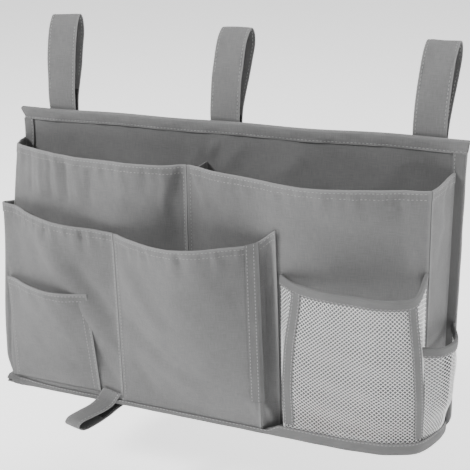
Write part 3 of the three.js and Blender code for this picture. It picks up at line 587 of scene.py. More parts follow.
@dataclass(frozen=True)
class Fold:
    """A soft ridge, or a hollow where its height is below 0, along a line on the cloth.

    Its height is height * exp(-(distance / width)^2), faded out at both ends.
    """

    start: tuple[float, float]
    end: tuple[float, float]
    height: float
    width: float

    def lift(self, across: Array, up: Array) -> Array:
        """The height of the fold at places on the cloth.

        Args:
            across: Places across.
            up: Places up.

        Returns:
            Heights.
        """
        line = np.subtract(self.end, self.start)
        size = float(np.linalg.norm(line))
        x, y = across - self.start[0], up - self.start[1]
        along = (x * line[0] + y * line[1]) / size**2
        off = (x * line[1] - y * line[0]) / size
        ends = np.clip(1 - np.abs(2 * along - 1) ** 3, 0, 1)
        return self.height * ends * hump(off, 0, self.width)


def folds_of(*rows: tuple[float, ...]) -> tuple[Fold, ...]:
    """Folds, each from its start, its end, its height and its width."""
    values = [tuple(float(v) for v in row) for row in rows]
    return tuple(Fold(row[:2], row[2:4], *row[4:]) for row in values)


@dataclass(frozen=True)
class Unevenness:
    """How far cloth strays from its smooth surface: a height, a wavelength and a draw."""

    height: float = 0.5
    length: float = 60.0
    seed: int = 1


class Edge(Enum):
    """How a piece of cloth ends at its top."""

    RAW = "raw"
    HEM = "hem"


@dataclass
class Grid:
    """Points on a grid, whose rows may be rings, with the cloth's flat coordinates and wear."""

    points: Array
    flat: Array
    wear: Array
    ring: bool = False

    @property
    def cut(self) -> tuple[float, float, float]:
        """The widest row, the longest column and the area, in millimetres.

        Returns:
            The three sizes.
        """
        points = self.points
        a, b = points[1:, :-1] - points[:-1, :-1], points[:-1, 1:] - points[:-1, :-1]
        sizes = (gaps(points, 1).sum(1).max(), gaps(points).sum(0).max(),
                 np.linalg.norm(np.cross(a, b), axis=-1).sum())
        return tuple(float(size) for size in sizes)


@dataclass
class Cloth:
    """Cloth on a surface: its height, how its top ends, and what keeps it from lying smooth."""

    surface: Surface
    edge: Edge = Edge.RAW
    folds: tuple[Fold, ...] = ()
    uneven: Unevenness = Unevenness()
    hem_depth: float = 9.0
    hem_stitches: tuple[float, float] = (2.4, 8.0)
    layer: float = 0.6
    lift: float = 0.0
    columns: int = 60
    rows: int = 60
    seam: float = 0.9
    gather: float = 0.6
    fade: float = 5.0
    quiet_foot: float = 12.0

    def __post_init__(self) -> None:
        """Measures the surface."""
        self.width, self.height = bounds_of(self.surface)

    def profile(self) -> tuple[Array, Array]:
        """Heights and lifts up the cloth: the body, and for a hem the step, turn and tongue.

        Returns:
            The heights and the lifts.
        """
        layer = self.layer
        if self.edge is Edge.RAW:
            heights = steps(self.rows, 0, self.height)
            return heights, np.zeros(len(heights))
        start = self.height - self.hem_depth
        turn = steps(6, 0, math.pi)[1:-1]
        body = steps(self.rows, 0, start - 1.5)
        hem = steps(6, start, self.height - layer)
        round_it = self.height - layer + layer * np.sin(turn)
        lifts = (np.zeros(len(body)), np.full(len(hem), layer), layer * np.cos(turn),
                 np.full(len(hem), -layer))
        return np.concatenate([body, hem, round_it, hem[::-1]]), np.concatenate(lifts)

    def strays(self, x: Array, z: Array) -> Array:
        """How far the cloth strays outwards at places across and heights, in millimetres.

        Gathers and tucks are finer waves near the hem, which its stitches draw in.

        Args:
            x: Places across.
            z: Heights.

        Returns:
            Distances.
        """
        seed, side = self.uneven.seed, np.minimum(x, self.width - x)
        height = self.uneven.height * waves(x, z, seed, self.uneven.length)
        height = height * smooth(z, 0, self.quiet_foot)
        if self.edge is Edge.HEM:
            drop = self.height - self.hem_depth + 1 - z
            gathers = waves(x, 0.12 * z, seed + 200, 8) * hump(drop, 0, 6)
            tucks = waves(x, 0.1 * z, seed + 300, 21) * smooth(28 - drop, 0, 26)
            height = height + self.gather * (gathers + 1.5 * tucks * smooth(drop, -9, 4))
            height = height - 0.3 * np.exp(-(drop**2) / 1.5)
        height = height * smooth(x, 0, 14) * smooth(self.width - x, 0, 14)
        near = smooth(x, 0, self.fade) * smooth(self.width - x, 0, self.fade)
        for fold in self.folds:
            height = height + fold.lift(x, z) * near
        return height + self.seam * hump(side, 0, 2.2)

    def at(self, across: Array, heights: Array, lifts: Array) -> Line:
        """Points and outward directions (m, n, 3).

        Args:
            across: Shares across (n).
            heights: Heights (m).
            lifts: Distances out of the surface (m).

        Returns:
            The points and the directions.
        """
        up = heights / self.height
        out = outwards(self.surface, across, up, self.width, self.height)
        off = self.strays(*np.meshgrid(across * self.width, heights))
        off = off + lifts[:, None] + self.lift
        return self.surface(across, up) + out * off[..., None], out

    def grid(self) -> Grid:
        """The cloth as a grid, with its flat coordinates and its wear at edges and corners.

        Returns:
            The grid.
        """
        across = steps(self.columns)
        heights, lifts = self.profile()
        points = self.at(across, heights, lifts)[0]
        flat = np.meshgrid(across * self.width, run_of(gaps(points).mean(1)))
        side = np.minimum(across, 1 - across)[None] * self.width
        wear = hump(self.height - heights, 0, 1.6)[:, None] + hump(side, 0, 1.5)
        return Grid(points, np.stack(flat, -1), np.clip(wear, 0, 1))

    def hem_rows(self) -> list[Line]:
        """The two rows of stitches along the hem, near its fold and near its lower edge.

        Returns:
            The rows.
        """
        lines = (self.at(steps(240, 0.012, 0.988), np.array([self.height - down]),
                         np.array([self.layer + CLOTH / 2])) for down in self.hem_stitches)
        return [(points[0], out[0]) for points, out in lines]

    def column(self, share: float, start: float, end: float) -> Line:
        """A line up the cloth at a share across, between two shares of the height.

        Args:
            share: Share across.
            start: Share up at its start.
            end: Share up at its end.

        Returns:
            The line.
        """
        heights = steps(160, start * self.height, end * self.height)
        points, out = self.at(np.array([share]), heights, np.full(len(heights), CLOTH / 2))
        return points[:, 0], out[:, 0]


@dataclass
class Value:
    """A number that changes over a surface, written in sums: each sum adds a Math node."""

    nodes: "Nodes"
    socket: Socket

    def _made(self, operation: str, *inputs: "Value | float") -> "Value":
        """One Math node."""
        sockets = {i: v.socket if isinstance(v, Value) else v for i, v in enumerate(inputs)}
        return self.nodes.value("ShaderNodeMath", {"operation": operation}, sockets)

    def __add__(self, other: "Value | float") -> "Value":
        """Sum."""
        return self._made("ADD", self, other)

    __radd__ = __add__

    def __sub__(self, other: "Value | float") -> "Value":
        """Difference."""
        return self._made("SUBTRACT", self, other)

    def __rsub__(self, other: float) -> "Value":
        """Difference from a number."""
        return self._made("SUBTRACT", other, self)

    def __mul__(self, other: "Value | float") -> "Value":
        """Product."""
        return self._made("MULTIPLY", self, other)

    __rmul__ = __mul__

    def sine(self) -> "Value":
        """Sine."""
        return self._made("SINE", self)

    def size(self) -> "Value":
        """Absolute value."""
        return self._made("ABSOLUTE", self)

    def above(self, edge: float, softness: float) -> "Value":
        """A step from 0 to 1 across an edge, as wide as twice the softness."""
        ranged = {0: self.socket, 1: edge - softness, 2: edge + softness, 3: 0, 4: 1}
        return self.nodes.value("ShaderNodeMapRange", {"clamp": True}, ranged)


class Nodes:
    """A material's nodes. Every node is made by one method."""

    def __init__(self, name: str) -> None:
        """Starts an empty material.

        Args:
            name: The material's name.
        """
        self.material = bpy.data.materials.new(name)
        self.material.use_nodes = True
        self.tree = self.material.node_tree
        self.tree.nodes.clear()

    def add(self, kind: str, settings: dict | None = None,
            sockets: dict | None = None) -> bpy.types.Node:
        """Makes one node.

        Args:
            kind: The node's type.
            settings: What is set first, such as an operation.
            sockets: Values or links of its inputs, by name or by place.

        Returns:
            The node.
        """
        node = self.tree.nodes.new(kind)
        for key, value in (settings or {}).items():
            setattr(node, key, value)
        for key, value in (sockets or {}).items():
            if isinstance(value, Socket):
                self.tree.links.new(value, node.inputs[key])
            else:
                node.inputs[key].default_value = value
        return node

    def value(self, kind: str, settings: dict, sockets: dict, output: str | int = 0) -> Value:
        """A node's output as a value."""
        return Value(self, self.add(kind, settings, sockets).outputs[output])

    def flat(self) -> tuple[Socket, Value, Value]:
        """The cloth's own coordinates in millimetres: the vector, and its two parts."""
        place = self.add("ShaderNodeUVMap", {"uv_map": "cloth"}).outputs["UV"]
        return place, *(self.value("ShaderNodeSeparateXYZ", {}, {0: place}, k) for k in "XY")

    def streaks(self, place: Socket, x: float, y: float) -> Value:
        """Noise of a scale along x and a scale along y, about 0.5 in the middle.

        Args:
            place: The coordinates.
            x: Scale across.
            y: Scale up.

        Returns:
            The noise.
        """
        stretch = {0: place, 1: (x, y, 1)}
        moved = self.add("ShaderNodeVectorMath", {"operation": "MULTIPLY"}, stretch)
        sockets = {"Vector": moved.outputs[0], "Scale": 1, "Detail": 3, "Roughness": 0.6}
        return self.value("ShaderNodeTexNoise", {}, sockets, "Fac")

    def wear(self) -> Value:
        """The wear kept on the mesh's points."""
        return self.value("ShaderNodeAttribute", {"attribute_name": "wear"}, {}, "Fac")

    def finish(self, tones: tuple[float, float], share: Value, rough: Value, height: Value,
               depth: float, strength: float = 0.7, **others: float) -> Material:
        """The principled shader and the output.

        Args:
            tones: Display tones of the darkest and the lightest grey.
            share: Which of them shows, from 0 to 1.
            rough: The roughness.
            height: The bump's height, from 0 to 1.
            depth: The bump's depth in metres.
            strength: The bump's strength.
            **others: Other sockets, with _ for a space.

        Returns:
            The material.
        """
        colours = {0: share.socket, 6: grey(tones[0]), 7: grey(tones[1])}
        mixed = self.add("ShaderNodeMix", {"data_type": "RGBA"}, colours)
        bump = {"Strength": strength, "Distance": depth, "Height": height.socket}
        normal = self.add("ShaderNodeBump", None, bump)
        sockets = {"Base Color": mixed.outputs[2], "Roughness": rough.socket,
                   "Normal": normal.outputs["Normal"]}
        sockets |= {name.replace("_", " "): value for name, value in others.items()}
        body = self.add("ShaderNodeBsdfPrincipled", None, sockets)
        self.add("ShaderNodeOutputMaterial", None, {"Surface": body.outputs[0]})
        return self.material


def grey(tone: float) -> tuple[float, float, float, float]:
    """A grey of a display tone from 0 to 255, as linear red, green and blue, opaque."""
    linear = ((tone / 255 + 0.055) / 1.055) ** 2.4
    return linear, linear, linear, 1


@dataclass(frozen=True)
class WovenFinish:
    """Thick-yarned plain weave: one yarn over, one under, with slubs and worn edges.

    Attributes:
        name: The material's name.
        tone: Display tone of the cloth.
        yarn: Distance between yarns in millimetres.
        relief: Depth of the weave in metres.
        mottle: How much the tone changes, as a share.
    """

    name: str
    tone: float
    yarn: float = 0.62
    relief: float = 0.00022
    mottle: float = 0.16
    roughness: float = 0.86
    sheen: float = 0.12

    def material(self) -> Material:
        """Weave height: the yarn on top shows its round back, abs(sin(pi * x / yarn)).

        Returns:
            The material.
        """
        nodes = Nodes(self.name)
        place, x, y = nodes.flat()
        pace = math.pi / self.yarn
        warp, weft = (x * pace).sine(), (y * pace).sine()
        over = (warp * weft).above(0, 0.25)
        height = over * warp.size() + (1 - over) * weft.size()
        slub = nodes.streaks(place, 1.6, 0.09) + nodes.streaks(place, 0.09, 1.6)
        cloud = nodes.streaks(place, 0.012, 0.012)
        # The last term follows the weave's height: painted shade between the yarns and painted light on
        # their raised backs.
        tone = (slub - 1) * 0.9 + (cloud - 0.5) * 0.9 + (height - 0.6) * 0.35
        tones = self.tone * (1 - self.mottle), self.tone * (1 + self.mottle)
        return nodes.finish(
            tones, tone + nodes.wear() * 0.7 + 0.5, (slub - 1) * 0.12 + self.roughness,
            height + (slub - 1) * 0.6, self.relief, Sheen_Weight=self.sheen,
            Sheen_Roughness=0.5, Specular_IOR_Level=0.25)


@dataclass(frozen=True)
class TapeFinish:
    """Ribbed tape: fine ribs across its length, and lighter worn edges."""

    name: str
    tone: float
    rib: float = 0.9
    relief: float = 0.0002

    def material(self) -> Material:
        """Rib height: abs(sin(pi * x / rib)) along the tape.

        Returns:
            The material.
        """
        nodes = Nodes(self.name)
        place, x, y = nodes.flat()
        ribs = (x * (math.pi / self.rib)).sine().size()
        yarns = (y * (math.pi / 0.5)).sine().size()
        streak, cloud = nodes.streaks(place, 0.1, 2.2), nodes.streaks(place, 0.03, 0.06)
        # The first term follows the ribs' height: painted shade in the grooves between ribs and painted
        # light on their crowns.
        tone = (ribs - 0.6) * 0.4 + (streak - 0.5) * 1.1 + (cloud - 0.5) * 0.8
        return nodes.finish(
            (self.tone * 0.86, self.tone * 1.14), tone + nodes.wear() * 0.35 + 0.5,
            streak * 0.2 + 0.72, ribs + yarns * 0.3, self.relief, Specular_IOR_Level=0.3)


@dataclass(frozen=True)
class StrandFinish:
    """Twisted thread or net yarn: a slanted twist along its length, with a soft gloss."""

    name: str
    tone: float
    twist: float = 1.1
    roughness: float = 0.5

    def material(self) -> Material:
        """Twist height: abs(sin(pi * (x + 2 * y) / twist)).

        Returns:
            The material.
        """
        nodes = Nodes(self.name)
        place, x, y = nodes.flat()
        ply = ((x + y * 2) * (math.pi / self.twist)).sine().size()
        cloud = nodes.streaks(place, 0.2, 0.2)
        # The first term follows the twist's height: painted shade in its grooves and painted light on its
        # ridges.
        tone = (ply - 0.6) * 0.5 + (cloud - 0.5) * 0.8 + 0.5
        return nodes.finish((self.tone * 0.84, self.tone * 1.08), tone,
                            cloud * 0.3 + self.roughness - 0.15, ply, 0.00012, 0.6)


@dataclass(frozen=True)
class FastenerFinish:
    """Hook or loop tape: rows of small dots for hooks, a tangle of fine fibres for loops."""

    name: str
    tone: float
    dots: bool

    def material(self) -> Material:
        """Hooks: sin * sin dots 1.5 mm apart. Loops: fine noise.

        Returns:
            The material.
        """
        nodes = Nodes(self.name)
        place, x, y = nodes.flat()
        tangle = nodes.streaks(place, 1.8, 1.8)
        pace = math.pi / 1.5
        hooks = ((x * pace).sine() * (y * pace).sine()).size()
        height = hooks + tangle * 0.4 if self.dots else tangle * 1.6
        # For hook tape the second term lightens the raised hooks: a painted highlight on each hook.
        tone = (tangle - 0.5) * 1.6 + (hooks - 0.4) * (0.8 if self.dots else 0) + 0.5
        return nodes.finish((self.tone * 0.6, self.tone * 1.6), tone, tangle * 0.3 + 0.6,
                            height, 0.0006, 0.9, Sheen_Weight=0.1)


@dataclass(frozen=True)
class BoardFinish:
    """Pressed stiffening board: flecks and a faint grain on Object coordinates."""

    name: str
    tone: float

    def material(self) -> Material:
        """Flecks of noise at two sizes, in metres.

        Returns:
            The material.
        """
        nodes = Nodes(self.name)
        place = nodes.add("ShaderNodeTexCoord").outputs["Object"]
        fleck, grain = nodes.streaks(place, 900, 900), nodes.streaks(place, 60, 400)
        tone = (fleck - 0.5) * 1.4 + (grain - 0.5) * 0.8 + 0.5
        return nodes.finish((self.tone * 0.85, self.tone * 1.1), tone, fleck * 0.2 + 0.6,
                            fleck, 0.0002, 0.5)


class Finish(Enum):
    """The caddy's finishes, each with the record's slot."""

    FACE = (WovenFinish("face_cloth", 99), "grey_cloth")
    PALE = (WovenFinish("strap_cloth", 98), "pale_cloth")
    LINING = (WovenFinish("lining_cloth", 94, yarn=0.5), "grey_cloth")
    TAPE = (TapeFinish("edge_tape", 92), "dark_tape")
    NET = (StrandFinish("net_yarn", 236), "pale_net")
    THREAD = (StrandFinish("sewing_thread", 140, twist=0.7), "pale_cloth")
    HOOKS = (FastenerFinish("hook_tape", 18, True), "black_tape")
    LOOPS = (FastenerFinish("loop_tape", 17, False), "black_tape")
    BOARD = (BoardFinish("stiffening_board", 120), "board")

    @property
    def material(self) -> Material:
        """The finish's material, made when it is first asked for."""
        made = bpy.data.materials.get(self.value[0].name)
        return made or self.value[0].material()

    @property
    def slot(self) -> str:
        """The record's material slot."""
        return self.value[1]


@dataclass
class Shape:
    """A mesh before it is made: points, faces of one size, flat coordinates and wear."""

    points: Array
    faces: Array
    corners: Array
    wear: Array


def woven(grid: Grid) -> Shape:
    """The faces of a grid, each with its corners' flat coordinates.

    Args:
        grid: The grid.

    Returns:
        Its shape, of faces with four corners.
    """
    rows, columns = grid.points.shape[:2]
    ids = np.arange(rows * columns).reshape(rows, columns)
    if grid.ring:
        ids = np.concatenate([ids, ids[:, :1]], 1)

    def quads(values: Array) -> Array:
        """The four corners of each cell."""
        corners = (values[:-1, :-1], values[:-1, 1:], values[1:, 1:], values[1:, :-1])
        return np.stack(corners, 2).reshape(-1, 4, *values.shape[2:])

    points = grid.points.reshape(-1, 3)
    return Shape(points, quads(ids), quads(grid.flat), grid.wear.reshape(-1))


def tubes(
    start: Array,
    end: Array,
    out: Array,
    wide: float,
    thick: float,
    rings: Sequence[tuple[float, float]],
    sides: int = 6,
) -> Shape:
    """Many short closed strands, each a many-sided section carried from start to end.

    A ring at share s is start + (end - start) * s plus the section
    (cos * wide, sin * thick) * r, in the directions across the strand and out of the cloth.

    Args:
        start: Starts (k, 3).
        end: Ends (k, 3).
        out: Directions out of the cloth (k, 3).
        wide: Half the strand's width.
        thick: Half its thickness.
        rings: Share and radius of each ring; the first and the last are closed by a fan.
        sides: Sides of the section.

    Returns:
        All strands as one shape of triangles.
    """
    along = end - start
    across = unit(np.cross(along, out))
    up = unit(np.cross(across, along))
    angles = steps(sides, 0, math.tau)[:-1]
    share = np.array([r[0] for r in rings])
    radius = np.array([r[1] for r in rings])
    centre = start[:, None] + along[:, None] * share[None, :, None]
    side = np.cos(angles)[:, None] * across[:, None, None] * wide
    lift = np.sin(angles)[:, None] * up[:, None, None] * thick
    ring = centre[:, :, None] + (side + lift) * radius[None, :, None, None]
    count, levels = len(start), len(rings)
    poles = np.stack([start, end], 1)
    points = np.concatenate([ring.reshape(count, -1, 3), poles], 1)
    size = levels * sides + 2
    k = np.arange(sides)
    n = (k + 1) % sides
    faces = []
    for level in range(levels - 1):
        a, b = level * sides + k, level * sides + n
        c, d = b + sides, a + sides
        faces += [together(a, b, c), together(a, c, d)]
    top = (levels - 1) * sides
    one = np.concatenate([*faces, together(n, k, size - 2), together(top + k, top + n, size - 1)])
    all_faces = (one[None] + (np.arange(count) * size)[:, None, None]).reshape(-1, 3)
    long = float(np.linalg.norm(along, axis=1).mean())
    level_of = np.append(np.repeat(share, sides), [0, 1]) * long
    round_it = np.append(np.tile(angles / math.tau, levels), [0, 0])
    flat = together(level_of, round_it * math.tau * wide)
    corners = np.tile(flat[one], (count, 1, 1))
    return Shape(points.reshape(-1, 3), all_faces, corners, np.zeros(count * size))


def joined(shapes: Sequence[Shape]) -> Shape:
    """Several shapes as one.

    Args:
        shapes: The shapes.

    Returns:
        The shape that holds them all.
    """
    shifts = np.cumsum([0] + [len(s.points) for s in shapes[:-1]])
    parts = [(s.points, s.faces + shift, s.corners, s.wear) for s, shift in zip(shapes, shifts)]
    return Shape(*(np.concatenate(part) for part in zip(*parts)))


def place_piece(name: str, shape: Shape, finish: Finish) -> Piece:
    """Makes a shape an object of the scene, in metres in the model's frame.

    Args:
        name: The piece's name.
        shape: Its shape, in millimetres in the panel's coordinates.
        finish: Its finish.

    Returns:
        The object, at the origin.
    """
    mesh = bpy.data.meshes.new(name)
    points = (shape.points - PANEL_TOP) * METRE
    mesh.from_pydata(points.tolist(), [], shape.faces.tolist())
    layer = mesh.uv_layers.new(name="cloth")
    layer.data.foreach_set("uv", shape.corners.reshape(-1).astype(np.float32))
    wear = mesh.attributes.new("wear", "FLOAT", "POINT")
    wear.data.foreach_set("value", shape.wear.astype(np.float32))
    mesh.shade_smooth()
    mesh.materials.append(finish.material)
    mesh.update()
    piece = bpy.data.objects.new(name, mesh)
    bpy.context.scene.collection.objects.link(piece)
    finish.slot
    LOG.info("%s: %d points", name, len(shape.points))
    return piece


def thicken(piece: Piece, thickness: float) -> None:
    """Gives a sheet its thickness, half to each side, and rounds its cut edges.

    Args:
        piece: The sheet.
        thickness: Its thickness in millimetres.
    """
    solid = piece.modifiers.new("thickness", "SOLIDIFY")
    solid.thickness, solid.offset, solid.use_rim = thickness * METRE, 0, True
    edge = piece.modifiers.new("edge", "BEVEL")
    edge.width, edge.segments = 0.25 * thickness * METRE, 1
    edge.limit_method, edge.angle_limit = "ANGLE", math.radians(60)
    edge.harden_normals = True


def sewn_sheet(name: str, grid: Grid, finish: Finish, node: str,
               body: str = "caddy", thickness: float = CLOTH) -> None:
    """Makes a grid of cloth a sheet that stands for a CAD node.

    Args:
        name: Its name.
        grid: Its points.
        finish: Its finish.
        node: Its CAD node.
        body: The body that it rides on.
        thickness: Its thickness.
    """
    piece = place_piece(name, woven(grid), finish)
    thicken(piece, thickness)
    declare(grid)
    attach(piece, body)
    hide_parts(node)


def declare(grid: Grid,
            fill: float = 1.0) -> None:
    """Works out a sheet's cut in whole millimetres and the area that is filled, and keeps neither.

    Args:
        grid: Its grid, which gives the cut.
        fill: The share of the cut that is yarn, below 1 for a net.
    """
    width, length, area = grid.cut
    flat = (math.ceil(width) * METRE, math.ceil(length) * METRE)
    whole = flat[0] * flat[1]
    share = min(max(area * METRE**2 * fill / whole, 0.3), 1)
    share * whole


@dataclass(frozen=True)
class Stitching:
    """A row of machine stitches: length of a stitch, gap to the next, and thread size."""

    length: float = 2.5
    gap: float = 1.3
    thread: float = 0.42
    sunk: float = 0.12

    def row(self, points: Array, out: Array) -> Shape:
        """Stitches along a line.

        Args:
            points: The line (n, 3), on the cloth's surface.
            out: Directions out of the cloth (n, 3).

        Returns:
            The stitches as one shape.
        """
        run = run_of(gaps(points))
        count = max(int(run[-1] / (self.length + self.gap)), 1)
        first = (np.arange(count) + 0.5) * run[-1] / count - self.length / 2

        def at(places: Array, values: Array) -> Array:
            """Values at distances along the line."""
            return np.stack([np.interp(places, run, values[:, k]) for k in range(3)], -1)

        middle = unit(at(first + self.length / 2, out))
        low = middle * self.sunk
        start, end = at(first, points) - low, at(first + self.length, points) - low
        rings = ((0.03, 0.45), (0.22, 0.95), (0.78, 0.95), (0.97, 0.45))
        return tubes(start, end, middle, self.thread, self.thread * 0.8, rings)

    def piece(self, name: str, lines: Sequence[Line]) -> Piece:
        """Rows of stitches as one piece, from the points and directions of each row."""
        return place_piece(name, joined([self.row(*line) for line in lines]), Finish.THREAD)


STITCH = Stitching()


def sew(name: str, lines: Sequence[Line]) -> None:
    """Makes rows of stitches one piece of the caddy."""
    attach(STITCH.piece(name, lines), "caddy")


@dataclass(frozen=True)
class Binding:
    """Tape folded over an edge: a section of points carried along stops.

    Attributes:
        section: The tape's middle line in the section (s, 2), out and up.
        place: Gives the points (k, s, 3) of the section at every stop.
    """

    section: Array
    place: Callable[[Array], Array]

    def grid(self, seed: int = 3, stray: float = 0.0) -> Grid:
        """The tape as a grid: its rows follow the edge and its columns go round the fold.

        Args:
            seed: Which draw of unevenness.
            stray: The height of the unevenness.

        Returns:
            The grid.
        """
        points = self.place(self.section)
        across = run_of(gaps(self.section))
        x, y = np.meshgrid(run_of(gaps(points).mean(1)), across, indexing="ij")
        out = unit(np.cross(np.gradient(points, axis=0), np.gradient(points, axis=1)))
        points = points + out * (stray * waves(x, y * 2, seed, 34))[..., None]
        wear = hump(np.minimum(y, across[-1] - y), 0, 1)
        return Grid(points, together(x, y), wear)


def edge_rows(points: Array) -> list[Line]:
    """The rows of stitches near both edges of a binding on the panel.

    Args:
        points: The binding's points (k, s, 3), from its front edge round to its rear.

    Returns:
        The row in front and the row behind.
    """
    rows = []
    for k, out in ((1, -1), (points.shape[1] - 2, 1)):
        way = np.tile([0, out, 0], (len(points), 1))
        rows.append((points[:, k] + way * TAPE / 2, way))
    return rows


def turned(depth: float, half: float, count: int = 6, rise: float = 1.0) -> Array:
    """The section of a tape folded over an edge, from its front edge round to its rear.

    The front stands half in front of the middle, the fold is a half circle of radius 1
    above 0, stretched by half and by the rise, and both sides reach a depth below.

    Args:
        depth: How far each side reaches below the fold's middle.
        half: Half the distance between the two sides.
        count: Steps down each side.
        rise: How high the fold stands.

    Returns:
        Points (s, 2): out and up.
    """
    angles = steps(8, 0, math.pi)
    down = steps(count, -depth, 0)[:-1]
    sides = np.ones(count)
    out = np.concatenate([sides, np.cos(angles), -sides])
    return np.stack([out * half, np.concatenate([down, np.sin(angles) * rise, down[::-1]])], -1)


@dataclass
class PocketLines:
    """The lines of all pocket walls, in the panel's coordinates."""

    tall_reach: tuple[float, float] = (66.0, 87.0)
    tall_depth: float = 58.0
    tall_hem: float = 268.0
    tall_corner: float = 221.0
    corner_depth: float = 47.0
    divider_x: float = -19.0
    seam_foot: float = 80.0
    seam_hem: float = 86.0
    front_seam: float = -94.0
    wide_reach: float = 78.0
    middle_reach: float = 120.0
    wide_hem: float = 207.0
    seam_height: float = 195.0
    middle_hem: float = 206.0
    side_top: float = 221.0
    net_corner: float = 225.0
    net_reach: float = 98.0
    net_rise: float = 189.0
    side_reach: float = 248.0
    side_gap: float = 2.6
    tall: Wall = field(init=False)
    front: Wall = field(init=False)
    net: Wall = field(init=False)
    side: Wall = field(init=False)

    def __post_init__(self) -> None:
        """Makes the walls, each on the one behind it."""
        self.tall = self._tall()
        self.front = self._front()
        self.net = self._net()
        self.side = self._side()

    @staticmethod
    def ending(line: Plan, height: float) -> Station:
        """A station on another wall's line, with its foot on the floor."""
        hem, foot = line(np.array(height)), line(np.array(FLOOR_TOP))
        return Station((*hem, height), foot=tuple(foot))

    def _tall(self) -> Wall:
        """The tall pockets' wall: left gusset, left front, right front, right gusset.

        Returns:
            The wall.
        """
        left, right = self.tall_reach
        depth, height, corner = self.tall_depth, self.tall_hem, self.tall_corner
        divider, seam, seam_x = self.divider_x, self.seam_foot, self.seam_hem
        left_rows = ((0.11, 0.62), (0.24, 0.79), (0.38, 0.9), (0.57, 0.97), (0.76, 1),
                     (0.9, 0.94))
        middle_rows = ((0.27, 0.7), (0.6, 0.81))
        right_rows = ((0.2, 1), (0.38, 0.985), (0.6, 0.89), (0.83, 0.74))

        def floor(x: float) -> dict:
            """A foot on the floor, on the line back to the right corner beyond the seam."""
            share = max(x - seam, 0) / (corner - seam)
            return {"foot": (x, -mix(depth, self.corner_depth, share))}

        return Wall([
            Station(hem_point(-236, END_DEPTH, height), rim=0),
            Station(hem_point(-228, 31, height), rim=depth - END_DEPTH),
            *spread(hem_run(left_rows, -236, divider, left, height, height), -RIM.half,
                    divider, floor),
            Station(hem_point(divider, 51, height), **floor(divider)),
            *spread(hem_run(middle_rows, divider, seam_x, right, height, height), divider,
                    seam, floor),
            Station(hem_point(seam_x, right * 0.955, height), **floor(seam)),
            *spread(hem_run(right_rows, seam_x, corner, right, height, height), seam,
                    corner, floor),
            Station(hem_point(corner, depth, height), **floor(corner)),
            Station(hem_point(231, END_DEPTH, 271), foot=(231, -END_DEPTH)),
        ], 0.15)

    def _front(self) -> Wall:
        """The front wall: wide pocket with its gusset, middle pocket with its side.

        Returns:
            The wall.
        """
        start_on = self.tall.outside(1, 0, 0)

        def start(z: Array) -> Array:
            """In front of the tall pocket's left corner."""
            return start_on(z) - np.array([0, STAND_OFF])

        end = self.tall.outside(11, -1.6, STAND_OFF)
        wide_rows = ((0.13, 0.73), (0.3, 0.88), (0.48, 1), (0.66, 0.99), (0.85, 0.95))
        middle_rows = ((0.08, 0.67), (0.22, 0.77), (0.37, 0.86), (0.51, 0.918), (0.66, 0.9),
                       (0.82, 0.8))
        left, hem, split = -240, self.wide_hem, self.front_seam
        corner = float(RIM.ends[0] + RIM.left_radius * math.pi / 4)
        seam, right = RIM.at_place(split), RIM.at_place(64)
        wide = hem_run(wide_rows, left, split, self.wide_reach, hem, self.seam_height)
        middle = hem_run(middle_rows, split, 62, self.middle_reach, self.seam_height,
                         self.middle_hem)
        return Wall([
            Station((*start(np.array(hem)), hem), rim=self.tall_depth - END_DEPTH + STAND_OFF),
            Station(hem_point(left, 52, hem), rim=corner),
            *spread(wide, corner, seam),
            Station(hem_point(split, self.wide_reach * 0.925, self.seam_height), rim=seam),
            *spread(middle, seam, right),
            Station(hem_point(62, 79, self.middle_hem), rim=right),
            self.ending(end, self.side_top),
        ], 1.35, start, end, (Sway(1, (-8.5, 0.5), (2, 34, 58, 196)),))

    def _net(self) -> Wall:
        """The net pocket's wall.

        Returns:
            The wall.
        """
        start = self.tall.outside(11, 1.6, NET_STAND_OFF)
        end = self.tall.outside(16, -1.6, NET_STAND_OFF)
        rows = ((0.14, 0.95), (0.32, 0.99), (0.52, 1), (0.72, 1.01), (0.88, 0.96))
        left, right = RIM.at_place(90), RIM.at_place(self.net_corner)
        hems = hem_run(rows, 104, 216, self.net_reach, NET_HEM, NET_HEM)
        return Wall([
            self.ending(start, NET_HEM),
            Station(hem_point(104, 87, NET_HEM), rim=left),
            *spread(hems, left, right),
            Station(hem_point(216, 82, NET_HEM), rim=right),
            self.ending(end, self.net_rise),
        ], 1.25, start, end, (Sway(1, (-5, 0.5), (8, 70, 96, 166), 0.8),
                              Sway(7, (3, 0), (8, 70, 100, 172), 0.8)))

    def _side(self) -> Wall:
        """The net side pocket's wall, round to the panel's side.

        Returns:
            The wall.
        """
        reach, top, last = self.side_reach, SIDE_HEM + 1, float(RIM.ends[4])
        start = self.net.outside(7, self.side_gap, NET_STAND_OFF)
        rows = ((0.12, 0.924, 0.28), (0.3, 0.96, 0.268), (0.5, 0.988, 0.224), (0.7, 1, 0.168))
        hems = [hem_point(reach * x, reach * depth, mix(top, SIDE_HEM, math.sqrt(along)))
                for along, x, depth in rows]
        return Wall([
            self.ending(start, top),
            *spread(hems, RIM.at_place(self.net_corner) + self.side_gap, last),
            Station(hem_point(RIM.half, END_DEPTH, SIDE_HEM), rim=last),
        ], 1.25, start, sways=(Sway(3.4, (5, -1.5), (4, 46, 76, 122), 1.5),))


